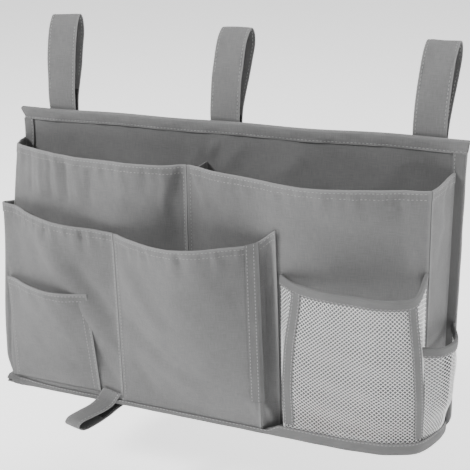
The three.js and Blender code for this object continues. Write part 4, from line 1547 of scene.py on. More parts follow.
@dataclass
class BackPanel:
    """The back panel: face cloth, lining, top band and side bindings."""

    corner_radius: float = 16.0
    band_height: float = 10.5
    overhang: float = 1.5
    binding_width: float = 11.0
    middle: float = (BAND_REAR - BAND_FACE) / 2.0
    half: float = (BAND_FACE + BAND_REAR - TAPE) / 2.0

    def layer(self, depth: float) -> Surface:
        """A flat layer with rounded lower corners, at a depth in front of the rear face.

        Its half width is half - r + sqrt(r^2 - (r - z)^2) below the corner's radius r.

        Args:
            depth: The depth.

        Returns:
            The layer.
        """

        def surface(across: Array, up: Array) -> Array:
            """Points of the layer, at shares across and up.

            Args:
                across: Shares across (n).
                up: Shares up (m).

            Returns:
                Points (m, n, 3).
            """
            radius, z = self.corner_radius, np.asarray(up)[:, None] * PANEL_HEIGHT
            drop = np.clip(radius - z, 0, radius)
            half = PANEL_WIDTH / 2 - radius + np.sqrt(radius**2 - drop**2)
            return together(mix(-half + self.drawn(z), half, np.asarray(across)[None]), -depth, z)

        return surface

    @staticmethod
    def drawn(z: Array) -> Array:
        """How far the panel's left edge is drawn in under the band: 5 * a soft step in z."""
        return 5 * smooth(z, 228, 284)

    def build(self) -> None:
        """Makes the panel's pieces."""
        folds = folds_of((221, 262, 229, 282, 1.5, 3),
                         (236, 250, 262, 284, 0.9, 7),
                         (196, 236, 214, 284, 0.8, 8),
                         (300, 250, 330, 282, 0.9, 9),
                         (400, 236, 424, 286, 0.8, 10))
        face = Cloth(self.layer(4.6), folds=folds, uneven=Unevenness(0.35, 70, 11),
                     columns=120, rows=84, seam=0)
        sewn_sheet("panel_face", face.grid(), Finish.FACE, "back_face_cloth")
        lining = Cloth(self.layer(0.5), uneven=Unevenness(-0.25, 80, 12), columns=90,
                       rows=64, seam=0)
        grid = lining.grid()
        grid.points[..., 1] = np.minimum(grid.points[..., 1], 0)
        sewn_sheet("panel_lining", grid, Finish.LINING, "back_lining")
        self.band()
        self.side("left", -1)
        self.side("right", 1)

    def bind(self, name: str, node: str, stitches: str, grid: Grid, finish: Finish) -> None:
        """A binding on the panel, and the stitches along both its edges.

        Args:
            name: Its name.
            node: Its CAD node.
            stitches: The stitches' name.
            grid: Its points.
            finish: Its finish.
        """
        sewn_sheet(name, grid, finish, node, thickness=TAPE)
        sew(stitches, edge_rows(grid.points))

    def band(self) -> None:
        """The top band: folded over the panel's top, a little wavy, with slanted ends."""

        def place(section: Array) -> Array:
            """Ends lean in from the top corners, and the top edge waves up and down.

            Args:
                section: The section (s, 2).

            Returns:
                Points (k, s, 3).
            """
            out, up = section[None, :, 0], section[None, :, 1]
            drop = -np.minimum(up, 0) / self.band_height
            reach = PANEL_WIDTH / 2 + self.overhang
            x = mix(-reach + 3 + 6.5 * drop, reach + 1.2 - 1.2 * drop, steps(240)[:, None])
            wave, flutter = waves(x, 0 * up, 21, 150), waves(x, up * 2, 22, 26)
            lift = 0.25 * flutter * (0.4 + drop) + 0.5 * np.sin(math.pi * drop)
            y = self.middle - out - smooth(out, 0, self.half) * lift
            return together(x, y, PANEL_HEIGHT - 0.6 + up + 0.7 * wave)

        section = turned(self.band_height, self.half, 5, 1.5)
        self.bind("panel_top_band", "top_band", "panel_top_stitches",
                  Binding(section, place).grid(), Finish.FACE)

    def side(self, label: str, side: float) -> None:
        """A side binding: from under the top band down and round the lower corner.

        Args:
            label: Which side.
            side: -1 for the left, 1 for the right.
        """
        radius = self.corner_radius
        straight = steps(60, PANEL_HEIGHT - self.band_height - CLEARANCE, radius)[:-1]
        angles = steps(16, 0, QUARTER)
        edge = side * PANEL_WIDTH / 2
        inward = np.concatenate([np.tile([-side, 0], (len(straight), 1)),
                                 together(-side * np.cos(angles), np.sin(angles))])
        corner = np.array([edge - side * radius, radius]) - radius * inward[len(straight):]
        at = edge + (self.drawn(straight) if side < 0 else 0 * straight)
        line = np.concatenate([together(at, straight), corner])

        def place(section: Array) -> Array:
            """Section points, inwards from the edge line."""
            plan = line[:, None] - inward[:, None] * section[None, :, 1, None]
            return together(plan[..., 0], self.middle - section[None, :, 0], plan[..., 1])

        section = turned(self.binding_width, self.half, 6, 0.75)
        grid = Binding(section, place).grid(31 + int(side), 0.18)
        self.bind(f"panel_{label}_binding", f"{label}_side_binding", f"panel_{label}_stitches",
                  grid, Finish.TAPE)


def between(rear: Plan, ahead: Plan, across: Array, z: Array) -> Array:
    """Points straight from one line to another, at shares across and heights."""
    plan = mix(rear(z)[:, None], ahead(z)[:, None], across[None, :, None])
    return together(plan[..., 0], plan[..., 1], z[:, None])


def pocket_node(name: str) -> str:
    """The CAD node of a pocket's piece: tall_left_front stands for tall_pocket_left_front."""
    return name.replace("_", "_pocket_", 1)


@dataclass
class Pockets:
    """The cloth pockets: tall pockets, wide pocket, middle pocket, flat pocket, partitions."""

    lines: PocketLines
    pace: float = 1.7

    def wall(self, name: str, surface: Surface, folds: tuple[Fold, ...], uneven: Unevenness,
             rests_on: str = "base_rim_binding", finish: Finish = Finish.FACE) -> Cloth:
        """A pocket wall with a turned hem.

        Args:
            name: Its name.
            surface: Its smooth surface.
            folds: The folds in it.
            uneven: Its unevenness.
            rests_on: What it is sewn to, with spaces between names; not used.
            finish: Its finish.

        Returns:
            The cloth, for its rows of stitches.
        """
        columns = math.ceil(bounds_of(surface)[0] / self.pace)
        cloth = Cloth(surface, Edge.HEM, folds, uneven, columns=columns, rows=84)
        sewn_sheet(name, cloth.grid(), finish, pocket_node(name))
        return cloth

    def build(self) -> None:
        """Makes the pockets' pieces."""
        self.tall()
        self.front()
        self.flat()
        self.partitions()

    def tall(self) -> None:
        """The tall pockets' walls."""
        wall, gap = self.lines.tall, CORNER_GAP
        left = self.wall(
            "tall_left_gusset", wall.patch(0, gap, 1, gap),
            folds_of((6, 262, 20, 214, 2.4, 4), (18, 240, 4, 196, -2.2, 4),
                     (8, 205, 22, 160, 1.8, 5)),
            Unevenness(0.6, 34, 41), "base_rim_binding panel_left_binding")
        pleats = [(x, 266, x + lean, 212, height, width) for x, lean, height, width in (
            (26, 2, -1.4, 3.6), (41, 3, 1.8, 4.2), (55, 3, -1.9, 3.4),
            (66, 4, 1.6, 4), (78, 3, -2, 3.6), (92, 5, 1.7, 5),
            (108, 3, -1.3, 4), (150, -3, 0.9, 6), (196, -4, 1.3, 5))]
        front_left = self.wall(
            "tall_left_front", wall.patch(1, gap, 8, gap),
            folds_of(*pleats, (30, 236, 200, 226, 1.6, 12)), Unevenness(0.8, 60, 42))
        front_right = self.wall(
            "tall_right_front", wall.patch(8, gap, 16, gap),
            folds_of((6, 268, 24, 228, 2.2, 4.5), (14, 266, 46, 216, -1.8, 6),
                     (60, 256, 126, 232, 1.6, 10), (150, 250, 232, 224, 1.9, 14),
                     (228, 220, 240, 150, 1.8, 7), (130, 214, 214, 176, -1.6, 16)),
            Unevenness(0.9, 80, 43))
        right = self.wall(
            "tall_right_gusset", wall.patch(16, gap, 17, gap),
            folds_of((4, 250, 30, 214, 1.6, 6), (34, 262, 16, 180, -1.4, 6)),
            Unevenness(0.6, 50, 44), "base_rim_binding panel_right_binding", Finish.PALE)
        rows = [row for cloth in (left, front_left, front_right, right)
                for row in cloth.hem_rows()]
        sew("tall_pocket_stitches", [*rows, front_left.column(0.985, 0.03, 0.96),
                                     front_right.column(0.013, 0.03, 0.96)])

    def front(self) -> None:
        """The front wall: wide pocket and middle pocket."""
        wall, gap = self.lines.front, CORNER_GAP
        last = wall.last
        gusset = self.wall(
            "wide_gusset", wall.patch(0, 0, 1, gap),
            folds_of((5, 196, 9, 130, 1.8, 3.4), (3, 150, 10, 70, -1.6, 3.6),
                     (8, 110, 5, 2, 4, 6)),
            Unevenness(0.5, 40, 51))
        wide = self.wall(
            "wide_front", wall.patch(1, gap, 7, gap),
            folds_of((52, 192, 136, 84, 4.2, 13), (100, 160, 150, 92, -2.8, 8),
                     (98, 116, 152, 56, 3, 10), (14, 188, 50, 146, 1.6, 9),
                     (112, 70, 148, 14, -2.8, 8), (5, 132, 8, 72, -1.8, 2.2),
                     (9, 88, 4, 12, -2.2, 2.4)),
            Unevenness(0.8, 70, 52))
        middle = self.wall(
            "middle_front", wall.patch(7, gap, last - 1, gap),
            folds_of((8, 176, 60, 96, 3.4, 12), (4, 112, 70, 56, -3, 10),
                     (24, 88, 100, 24, 2.8, 13), (100, 190, 140, 120, 1.7, 14),
                     (14, 64, 44, 16, -1.6, 8), (150, 36, 172, 6, 1.6, 7)),
            Unevenness(0.9, 80, 53))
        side = self.wall(
            "middle_side", wall.patch(last - 1, gap, last, 0),
            folds_of((12, 216, 11, 24, -10, 7.5), (3, 34, 16, 2, 2.4, 4)),
            Unevenness(0.4, 50, 54), "tall_right_front")
        rows = [row for cloth in (gusset, wide, middle, side) for row in cloth.hem_rows()]
        sew("front_pocket_stitches", [*rows, wide.column(0.985, 0.03, 0.95),
                                      middle.column(0.014, 0.03, 0.95)])
        tape = CornerTape(
            Cloth(wall.patch(last - 1, -10, last - 1, -4), lift=1.6, columns=14, rows=72,
                  seam=0, uneven=Unevenness(0.2, 40, 55)), 31, 203, (0.12, 0.62))
        tape.build("middle_corner_tape", ["middle_front", "middle_side"])

    def flat(self) -> None:
        """The flat pocket, sewn to the wide pocket at its sides and foot."""
        wall = self.lines.front
        top, swell = 125, 9

        def base(across: Array, up: Array) -> Array:
            """The wide pocket's surface behind the flat pocket."""
            x = mix(mix(-229, -237, up[:, None]), mix(-121, -129, up[:, None]), across)
            return wall.behind(1, 7, x, mix(FOOT_SEAM, top, up[:, None]))

        width, height = bounds_of(base)

        def surface(across: Array, up: Array) -> Array:
            """The pocket gapes towards its mouth: swell * sqrt(v) * sin(pi * u).

            Args:
                across: Shares across (n).
                up: Shares up (m).

            Returns:
                Points (m, n, 3).
            """
            gape = swell * np.sqrt(np.clip(up, 0, 1))[:, None]
            gape = STAND_OFF + gape * np.sin(math.pi * np.clip(across, 0, 1))[None]
            return base(across, up) + outwards(base, across, up, width, height) * gape[..., None]

        folds = folds_of((70, 96, 96, 34, 1.1, 9), (34, 84, 60, 22, -0.9, 9),
                         (10, 20, 90, 14, 0.8, 7))
        pocket = Cloth(surface, Edge.HEM, folds, Unevenness(0.4, 52, 61), columns=40, rows=40,
                       seam=0.5, quiet_foot=8)
        sewn_sheet("flat_pocket_cloth", pocket.grid(), Finish.FACE, "flat_pocket")
        sides = [pocket.column(share, 0.02, 0.97) for share in (0.978, 0.93, 0.03)]
        sew("flat_pocket_stitches", [*pocket.hem_rows(), *sides])

    def partitions(self) -> None:
        """The two cloth partitions between pockets."""
        tall, front, seam = self.lines.tall, self.lines.front, self.lines.front_seam
        inside = -(2.4 / 2 + CLEARANCE)

        def partition(rear: Plan, ahead: Plan, height: float) -> Surface:
            """Straight from the rear line to the front line at each height."""
            return lambda across, up: between(rear, ahead, across, mix(FLOOR_TOP, height, up))

        def panel_line(z: Array) -> Array:
            """The divider's rear edge on the panel."""
            return together(self.lines.divider_x, -PANEL_FACE - CLEARANCE, z)[..., :2]

        def tall_line(z: Array) -> Array:
            """The front partition's rear edge on the tall pocket."""
            return together(seam, tall.behind(1, 8, np.full_like(z, seam), z)[..., 1] - STAND_OFF)

        for name, node, rear, ahead, height, rests_on in (
            ("tall_divider", "tall_pocket_divider", panel_line, tall.outside(8, 0, inside),
             259, ["panel_face", "tall_left_front"]),
            ("front_divider", "front_pocket_divider", tall_line, front.outside(7, 0, inside),
             186, ["tall_left_front", "wide_front"]),
        ):
            cloth = Cloth(partition(rear, ahead, height), uneven=Unevenness(0.4, 40, 63),
                          columns=20, rows=50, seam=0)
            sewn_sheet(name, cloth.grid(), Finish.FACE, node)


@dataclass
class CornerTape:
    """A tape up a pocket's corner.

    Attributes:
        cloth: The tape as cloth over the wall's whole height.
        start: Height at which it starts.
        end: Height at which it ends.
        lines: Shares across it where its stitches run.
    """

    cloth: Cloth
    start: float
    end: float
    lines: tuple[float, float]

    def build(self, name: str, rests_on: Sequence[str]) -> None:
        """Makes the tape and its stitches.

        Args:
            name: Its name.
            rests_on: What it is sewn to; not used.
        """
        tape, start, end = self.cloth, self.start, self.end
        across, heights = steps(tape.columns), steps(tape.rows, start, end)
        points = tape.at(across, heights, np.zeros(len(heights)))[0]
        flat = together(*np.meshgrid(heights, across * tape.width, indexing="ij"))
        side = np.minimum(across, 1 - across)[None] * tape.width
        wear = hump(side, 0, 1) * np.ones(points.shape[:2])
        sewn_sheet(name, Grid(points, flat, wear), Finish.TAPE, pocket_node(name),
                   thickness=TAPE)
        sew(name.replace("tape", "stitches"),
            [tape.column(share, start / tape.height, end / tape.height) for share in self.lines])


@dataclass
class NetPockets:
    """The net pocket and the net side pocket, with the tapes that bind them."""

    lines: PocketLines
    cell: float = 4.4
    strand: float = 0.35

    def netting(self, name: str, node: str, surface: Surface,
                seed: int) -> None:
        """A diamond net on a surface: two families of slanting strands and their knots.

        In half cells, a strand crosses each square of the grid from corner to corner, and
        from one square to the next it turns the other way.

        Args:
            name: Its name.
            node: Its CAD node.
            surface: The net's surface.
            seed: Which draw of unevenness.
        """
        width, height = bounds_of(surface)
        columns = max(round(2 * width / self.cell), 2)
        rows = max(round(2 * height / self.cell), 2)
        across, up = steps(columns), steps(rows)
        out = outwards(surface, across, up, width, height)
        x, z = np.meshgrid(across * width, up * height)
        ends = np.minimum(smooth(x, 0, 20), smooth(width - x, 0, 20))
        ends = ends * np.minimum(smooth(z, 0, 20), smooth(height - z, 0, 12))
        stray = 0.9 * waves(x, z, seed, 46) * ends
        knots = surface(across, up) + out * stray[..., None]
        i, j = np.meshgrid(np.arange(columns), np.arange(rows))
        even = (i + j) % 2 == 0
        low_i, high_i = np.where(even, i, i + 1).ravel(), np.where(even, i + 1, i).ravel()
        low_j, high_j = j.ravel(), j.ravel() + 1
        start, end = knots[low_j, low_i], knots[high_j, high_i]
        normal = unit(out[low_j, low_i] + out[high_j, high_i])
        rings = ((0, 1.25), (0.22, 0.9), (0.78, 0.9), (1, 1.25))
        shape = tubes(start, end, normal, self.strand, self.strand * 0.7, rings, 5)
        piece = place_piece(name, shape, Finish.NET)
        flat = together(*np.meshgrid(across * width, up * height))
        grid = Grid(knots, flat, np.zeros(knots.shape[:2]))
        half = np.linalg.norm(end - start, axis=1).sum() * math.pi * self.strand * 0.85
        declare(grid, min(half / grid.cut[2], 1))
        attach(piece, "caddy")
        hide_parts(node)

    def part(self, surface: Surface, height: float) -> Surface:
        """The part of a wall that the net fills, under the tape along its top."""
        return lambda across, up: surface(across, mix(0.006, 1 - 2.4 / height, up))

    def top_tape(self, name: str, wall: Wall, ends: tuple[float, float], height: float) -> None:
        """A tape folded over a wall's top edge, with a row of stitches on each side.

        Args:
            name: Its name.
            wall: The wall.
            ends: How far in its start and its end lie.
            height: The wall's height.
        """
        surface = wall.patch(0, ends[0], wall.last, ends[1])
        width = bounds_of(surface)[0]
        stops = steps(int(width / 2.4))

        def way(up: float) -> Array:
            """Outward directions at a share of the height."""
            return outwards(surface, stops, np.full(1, up), width, height)

        def place(section: Array) -> Array:
            """Section points: out of the wall, and down it from the top.

            Args:
                section: The section (s, 2).

            Returns:
                Points (k, s, 3).
            """
            points = surface(stops, 1 - np.maximum(-section[:, 1], 0) / height)
            points = points + way(1 - 6 / height) * section[:, 0, None, None]
            points[..., 2] += np.maximum(section[:, 1], 0)[:, None] * 0.7 - 0.9
            return points.transpose(1, 0, 2)

        grid = Binding(turned(9.2, 1.1, 6, 1.1), place).grid(71, 0.25)
        sewn_sheet(name, grid, Finish.TAPE, pocket_node(name), thickness=TAPE)
        front, rear, out = grid.points[:, 1], grid.points[:, -2], way(0.95)[0]
        sew(name.replace("tape", "stitches"),
            [(front + out * TAPE / 2, out), (rear - out * TAPE / 2, -out)])

    def build(self) -> None:
        """Makes the nets and their tapes."""
        net, side, edge = self.lines.net, self.lines.side, 1
        right = net.last - 1
        for name, node, wall, start, end, height, tape, seed in (
            ("net_left", "net_pocket_left_net", net, 0, 1, NET_HEM, "net_top_tape", 81),
            ("net_front", "net_pocket_front_net", net, 1, right, NET_HEM, "net_top_tape", 82),
            ("net_right", "net_pocket_right_net", net, right, net.last, NET_HEM,
             "net_top_tape", 83),
            ("side_net", "side_pocket_net", side, 0, side.last, SIDE_HEM, "side_top_tape", 84),
        ):
            surface = self.part(wall.patch(start, edge, end, edge), height)
            self.netting(name, node, surface, seed)
        self.top_tape("net_top_tape", net, (1.2, 1.2), NET_HEM)
        self.top_tape("side_top_tape", side, (0.9, 0.25), SIDE_HEM)
        for label, station, before, after, lines in (("left", 1, 2, 9, (0.25, 0.88)),
                                                     ("right", right, 8, 1.5, (0.1, 0.75))):
            tape = Cloth(net.patch(station, -before, station, -after), lift=1.3, columns=12,
                         rows=64, seam=0, uneven=Unevenness(0.3, 40, 75 + station))
            CornerTape(tape, FOOT_SEAM, 164, lines).build(f"net_{label}_tape", ["net_front"])


@dataclass
class Base:
    """The base: floor cloth, stiffening board and the binding round its rim."""

    high: float = 12.0
    low: float = 4.6
    out: float = 1.4
    foot: float = 0.3
    tuck: float = 7.0

    def build(self) -> None:
        """Makes the base's pieces."""
        self.floor()
        self.board()
        self.binding()

    def layer(self, reach: float, z: float) -> Grid:
        """A flat layer with the rim's outline, in columns from the panel forwards.

        Args:
            reach: How far it reaches beyond the rim's line, below 0 to stay inside.
            z: Its height.

        Returns:
            Its grid.
        """
        distance = steps(2000, 0, float(RIM.ends[4]))
        edge = RIM.at(distance) + RIM.outward(distance) * reach
        x = mix(edge[:, 0].min(), edge[:, 0].max(), 0.5 - 0.5 * np.cos(math.pi * steps(120)))
        order = np.argsort(edge[:, 0], kind="stable")
        front = np.interp(x, edge[order, 0], np.minimum(edge[order, 1], -END_DEPTH - 0.5))
        y = mix(-END_DEPTH, front[None], steps(20)[:, None])
        x = np.broadcast_to(x[None], y.shape)
        height = z - 0.1 * waves(x, y, 91, 40)
        return Grid(together(x, y, height), together(x, y), np.zeros(y.shape))

    def floor(self) -> None:
        """The floor cloth."""
        sewn_sheet("base_floor", self.layer(0.6, 0.6), Finish.FACE, "base_cloth",
                   thickness=1)

    def board(self) -> None:
        """The stiffening board that lies on the floor cloth."""
        piece = place_piece("base_stiffener", woven(self.layer(-2.2, 2.5)), Finish.BOARD)
        thicken(piece, 2)
        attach(piece, "caddy")
        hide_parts("base_board")

    def binding(self) -> None:
        """The rim's binding: high round the nets, and turned under the edge further left.

        Up the wall it bulges by 0.5 * sin(pi * v), it turns under on a quarter circle, and
        its left front corner is crumpled.
        """
        stops = steps(300, 0, float(RIM.ends[4]))
        change = RIM.at_place(70)
        height = mix(self.low, self.high, smooth(stops, change, change + 14))
        height = height + 4.6 * hump(stops, 66, 34)
        left = hump(stops, 58, 20)[:, None]
        up = steps(7, 1, 0)
        bend = steps(4, 0, QUARTER)[1:]
        count = len(up) + len(bend) + 3
        offsets = np.concatenate([np.full(len(up), self.out), self.out - 1 + np.cos(bend),
                                  steps(3, 0.4, -self.tuck)[1:]])
        bulge = np.append(np.sin(up * math.pi), np.zeros(count - len(up)))
        crumple = 1 + 0.6 * waves(stops[:, None], 48 * bulge[None], 94, 7)
        out_by = offsets + 0.5 * bulge + left * crumple * (2.6 + 1.6 * bulge)
        out_by = out_by - 2.6 * left * smooth(offsets, 0, -self.tuck)
        x, y = np.meshgrid(stops, np.arange(count) * 1.6, indexing="ij")
        out_by = out_by + 0.2 * waves(x, y * 3, 92, 40)
        outward = RIM.outward(stops)
        plan = RIM.at(stops)[:, None] + outward[:, None] * out_by[..., None]
        wall = self.foot + (height[:, None] - self.foot) * up[None]
        below = np.append(self.foot - np.sin(bend), np.full(3, self.foot - 1))
        z = np.concatenate([wall, np.tile(below, (len(stops), 1))], 1)
        wear = hump(np.arange(count), 0, 1.2)[None] * np.ones(x.shape)
        grid = Grid(together(plan[..., 0], plan[..., 1], z), together(x, y), wear)
        sewn_sheet("base_rim_binding", grid, Finish.TAPE, "rim_binding",
                   thickness=TAPE)
        out = np.pad(outward, ((0, 0), (0, 1)))
        sew("base_rim_stitches", [(grid.points[:, 1] + out * TAPE / 2, out)])


@dataclass(frozen=True)
class Strap:
    """A looped strap of folded cloth, with hook tape and loop tape at its two ends."""

    name: str
    curve: Curve
    across: Callable[[Array], Array]
    width: float
    crown: float
    thickness: float = 1.5
    twist: float = 0.0
    edge: float = 2.6
    bend_reach: float = 11.0
    tape_lift: float = 1.6

    def frame(self, share: Array) -> tuple[Array, Array, Array]:
        """Centres, directions across and directions out of the strap.

        Above the panel all three turn about the tail by the twist, with a soft step in z.

        Args:
            share: Shares along the strap (n).

        Returns:
            Three arrays (n, 3).
        """
        step = 0.5 / self.curve.length
        centre = self.curve.along(share)
        along = unit(self.curve.along(share + step) - self.curve.along(share - step))
        across = unit(self.across(share))
        turn = math.radians(self.twist) * smooth(centre[:, 2], PANEL_HEIGHT, PANEL_HEIGHT + 60)
        pivot = self.curve.along(np.zeros(1))
        cos, sin = np.cos(turn), np.sin(turn)
        centre, across, out = (
            together(x * cos - y * sin, x * sin + y * cos, z)
            for x, y, z in ((centre - pivot).T, across.T, unit(np.cross(across, along)).T))
        return centre + pivot, across, out

    def line(self, place: float, start: float, end: float, side: float) -> Line:
        """A line along the strap for stitches.

        Args:
            place: Distance from its middle, across.
            start: Share along at which it starts.
            end: Share at which it ends.
            side: 1 on its outside, -1 on its inside.

        Returns:
            Points and outward directions.
        """
        centre, across, out = self.frame(steps(300, start, end))
        lift = side * self.thickness * 0.42
        return centre + across * place + out * lift, out * side

    def build(self) -> None:
        """The strap: a flat rounded section, a little hollow beside its stitches.

        With t round the section, it is sign(cos) * abs(cos)^0.22 across and
        sign(sin) * abs(sin)^0.5 out, less a dent near both edges.
        """
        share = steps(150)
        centre, across, out = self.frame(share)
        angles = steps(40, 0, math.tau)[:-1]
        cos, sin = np.cos(angles), np.sin(angles)
        a = np.sign(cos) * np.abs(cos) ** 0.22 * self.width / 2
        b = np.sign(sin) * np.abs(sin) ** 0.5 * self.thickness / 2
        b = b * (1 - 0.35 * hump(np.abs(a), self.width / 2 - self.edge, 0.9))
        run = share * self.curve.length
        bow = 0.35 * waves(run[:, None], a[None], len(self.name), 40)
        points = centre[:, None] + across[:, None] * a[None, :, None]
        points = points + out[:, None] * (b[None] + bow)[..., None]
        round_it = run_of(np.hypot(np.diff(a), np.diff(b)))
        total = round_it[-1] + math.hypot(a[0] - a[-1], b[0] - b[-1])
        flat = np.meshgrid(np.append(round_it, total), run)
        wear = hump(np.abs(a), self.width / 2, 1.2)[None] * np.ones_like(bow)
        shape = woven(Grid(points, np.stack(flat, -1), wear, ring=True))
        ring = np.arange(len(a))
        end = cap_faces(ring + (len(share) - 1) * len(a))[:, ::-1]
        caps = np.concatenate([cap_faces(ring), end])
        shape.faces = np.concatenate([shape.faces, caps])
        shape.corners = np.concatenate([shape.corners, np.zeros((len(caps), 4, 2))])
        piece = place_piece(f"{self.name}_strap", shape, Finish.PALE)
        self.bend(piece, np.repeat(share, len(a)))
        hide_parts(f"{self.name}_strap_sewn_leg", f"{self.name}_strap_free_leg")
        edge = self.width / 2 - self.edge
        rows = [self.line(side * edge, 0.01, 0.99, face) for side in (-1, 1) for face in (-1, 1)]
        thread = STITCH.piece(f"{self.name}_strap_stitches", rows)
        self.bend(thread, self.shares_of(thread))

    def shares_of(self, piece: Piece) -> Array:
        """The share along the strap of each point of a piece, from the nearest centre.

        Args:
            piece: The piece.

        Returns:
            Shares (n).
        """
        share = steps(600)
        centre = self.curve.along(share)
        points = np.zeros(len(piece.data.vertices) * 3, np.float32)
        piece.data.vertices.foreach_get("co", points)
        points = points.reshape(-1, 3) / METRE + PANEL_TOP
        return np.concatenate([
            share[np.linalg.norm(centre[None] - part[:, None], axis=-1).argmin(1)]
            for part in np.array_split(points, 40)])

    def bend(self, piece: Piece, shares: Array) -> None:
        """Bends a piece across the crown: it follows the panel before, and the flap after.

        The legs come close to each other below the crown, so the share along the strap then
        says how far each point has passed.

        Args:
            piece: The piece.
            shares: The share along the strap of each of its points.
        """
        reach = self.bend_reach / self.curve.length
        ends = self.curve.along(np.array([self.crown - reach, self.crown + reach]))
        ends = (ends - PANEL_TOP) * METRE
        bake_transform(piece, "caddy", f"{self.name}_strap_flap", start=tuple(ends[0]),
                 end=tuple(ends[1]))
        passed = smooth(shares, self.crown - reach, self.crown + reach)
        bend = piece.data.attributes["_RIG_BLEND"]
        bend.data.foreach_set("value", passed.astype(np.float32))

    def patch(self, kind: str, start: float, end: float, width: float, side: float) -> None:
        """Tape on a face of the strap.

        Args:
            kind: "hooks" on the free leg, or "loops" on the sewn leg.
            start: Distance along the strap at which it starts.
            end: Distance at which it ends.
            width: Its width.
            side: The face, 1 outside or -1 inside.
        """
        share = steps(30, start, end) / self.curve.length
        grid = self.strip(share, steps(16, -width / 2, width / 2), side * self.tape_lift)
        body = f"{self.name}_strap_flap" if kind == "hooks" else "caddy"
        sewn_sheet(f"{self.name}_{kind}", grid, Finish[kind.upper()],
                   f"{self.name}_{kind[:-1]}_tape", body, 1)

    def strip(self, share: Array, places: Array, lift: float) -> Grid:
        """A strip along the strap.

        Args:
            share: Shares along (k).
            places: Distances across (s).
            lift: How far out of the strap's middle.

        Returns:
            The strip.
        """
        centre, across, out = self.frame(share)
        points = (centre + out * lift)[:, None] + across[:, None] * places[None, :, None]
        flat = together(*np.meshgrid(share * self.curve.length, places, indexing="ij"))
        return Grid(points, flat, np.zeros(points.shape[:2]))


def cap_faces(ids: Array) -> Array:
    """Four-cornered faces that close a ring whose points lie opposite each other in pairs."""
    first, size = np.arange(1, len(ids) // 2 - 1), len(ids)
    return ids[np.stack([first, first + 1, size - first - 1, size - first], 1)]


@dataclass
class Straps:
    """The three hanging straps and the strap at the front edge."""

    width: float = 32.0
    tail: float = 55.0
    tape: float = 30.5
    tape_start: float = 3.0
    tape_end: float = 53.0
    low_width: float = 21.0
    low_tape: float = 17.0
    low_loops: float = 27.0

    def hanging(self, name: str, place: float, rise: float, setback: float, hook: float,
                twist: float) -> Strap:
        """One hanging strap: up from its tail behind the panel, over and down again.

        Args:
            name: Which strap.
            place: Its middle across the panel.
            rise: How high its crown stands above the panel.
            setback: How far back the crown lies.
            hook: How far above the panel's top its hook tape reaches.
            twist: How many degrees its loop has turned about the vertical.

        Returns:
            The strap.
        """
        tail_y, free_y, top = 2.3, 7, PANEL_HEIGHT
        free_end = top + hook - self.tape_end
        front = ((0.1, 0), (0.25, 0.04), (0.42, 0.13), (0.6, 0.27), (0.79, 0.47), (0.93, 0.72))
        rear = ((0.95, 1.16), (0.82, 1.2), (0.66, 1.03), (0.46, 0.76), (0.28, 0.5), (0.13, 0.31))
        points = [
            (tail_y, top - self.tail),
            (tail_y, top - self.tail / 2),
            (tail_y, top),
            *((mix(tail_y, setback, back), top + rise * up) for up, back in front),
            (setback, top + rise),
            *((setback * back, top + rise * up) for up, back in rear),
            (free_y + 0.8, mix(top, free_end, 1 / 6)),
            *((free_y, mix(top, free_end, share)) for share in (0.5, 0.75, 1)),
        ]
        curve = Curve([(place, y, z) for y, z in points])
        share = steps(4000)
        crown = float(share[curve.along(share)[:, 2].argmax()])
        return Strap(name, curve, lambda s: np.tile([1, 0, 0], (len(s), 1)),
                     self.width, crown, twist=twist)

    def low(self) -> Strap:
        """The strap at the front edge: down over the binding, out, and back under the base.

        Returns:
            The strap.
        """
        reach = 40
        sewn = ((0, 0, 0), (-0.125, 0, 0.19), (-0.23, 0.02, 0.36), (-0.36, 0.2, 0.47),
                (-0.55, 0.54, 0.52), (-0.73, 0.84, 0.6))
        free = ((-0.765, 0.905, 0.71), (-0.69, 0.81, 0.81), (-0.49, 0.46, 0.79),
                (-0.29, 0.12, 0.68), (-0.12, -0.18, 0.545))
        under = -3 * CLEARANCE - 3
        start = np.array([-106.5, -76.95, 15.5])
        points = [start + reach * np.array([side, -ahead, -down])
                  for side, ahead, down in (*sewn, *free)]
        for side, ahead in ((0.05, -0.5), (0.25, -0.88)):
            points.append(start + (reach * side, -reach * ahead, under - start[2]))
        curve = Curve(points)
        share = steps(4000)
        crown = float(share[curve.along(share)[:, 1].argmin()])

        def across(s: Array) -> Array:
            """The width lies along the binding at the start and turns forwards to the loop."""
            turn = smooth(s, 0, crown)
            return together(1, -0.245 * turn, -0.22 * (1 - turn))

        return Strap("low", curve, across, self.low_width, crown)

    def build(self) -> None:
        """Makes the four straps with their tapes."""
        start, end = self.tape_start, self.tape_end
        for name, place, rise, setback, hook, twist in (
            ("left", -190.5, 96, 33, 21, 9),
            ("middle", -0.5, 88, 39, 6, 0),
            ("right", 205, 82.5, 43, 4, -2),
        ):
            strap = self.hanging(name, place, rise, setback, hook, twist)
            strap.build()
            length = strap.curve.length
            strap.patch("loops", start, end, self.tape, -1)
            strap.patch("hooks", length - end, length - start, self.tape, -1)
        low = self.low()
        low.build()
        length = low.curve.length
        low.patch("hooks", length - end, length - start, self.low_tape, 1)
        share = steps(20, length - self.low_loops, length - start) / length
        loops = low.strip(share, steps(12, -self.low_tape / 2, self.low_tape / 2), 0)
        loops.points[..., 2] = -CLEARANCE - 0.55
        sewn_sheet("low_loops", loops, Finish.LOOPS, "low_loop_tape",
                   "caddy", 1)


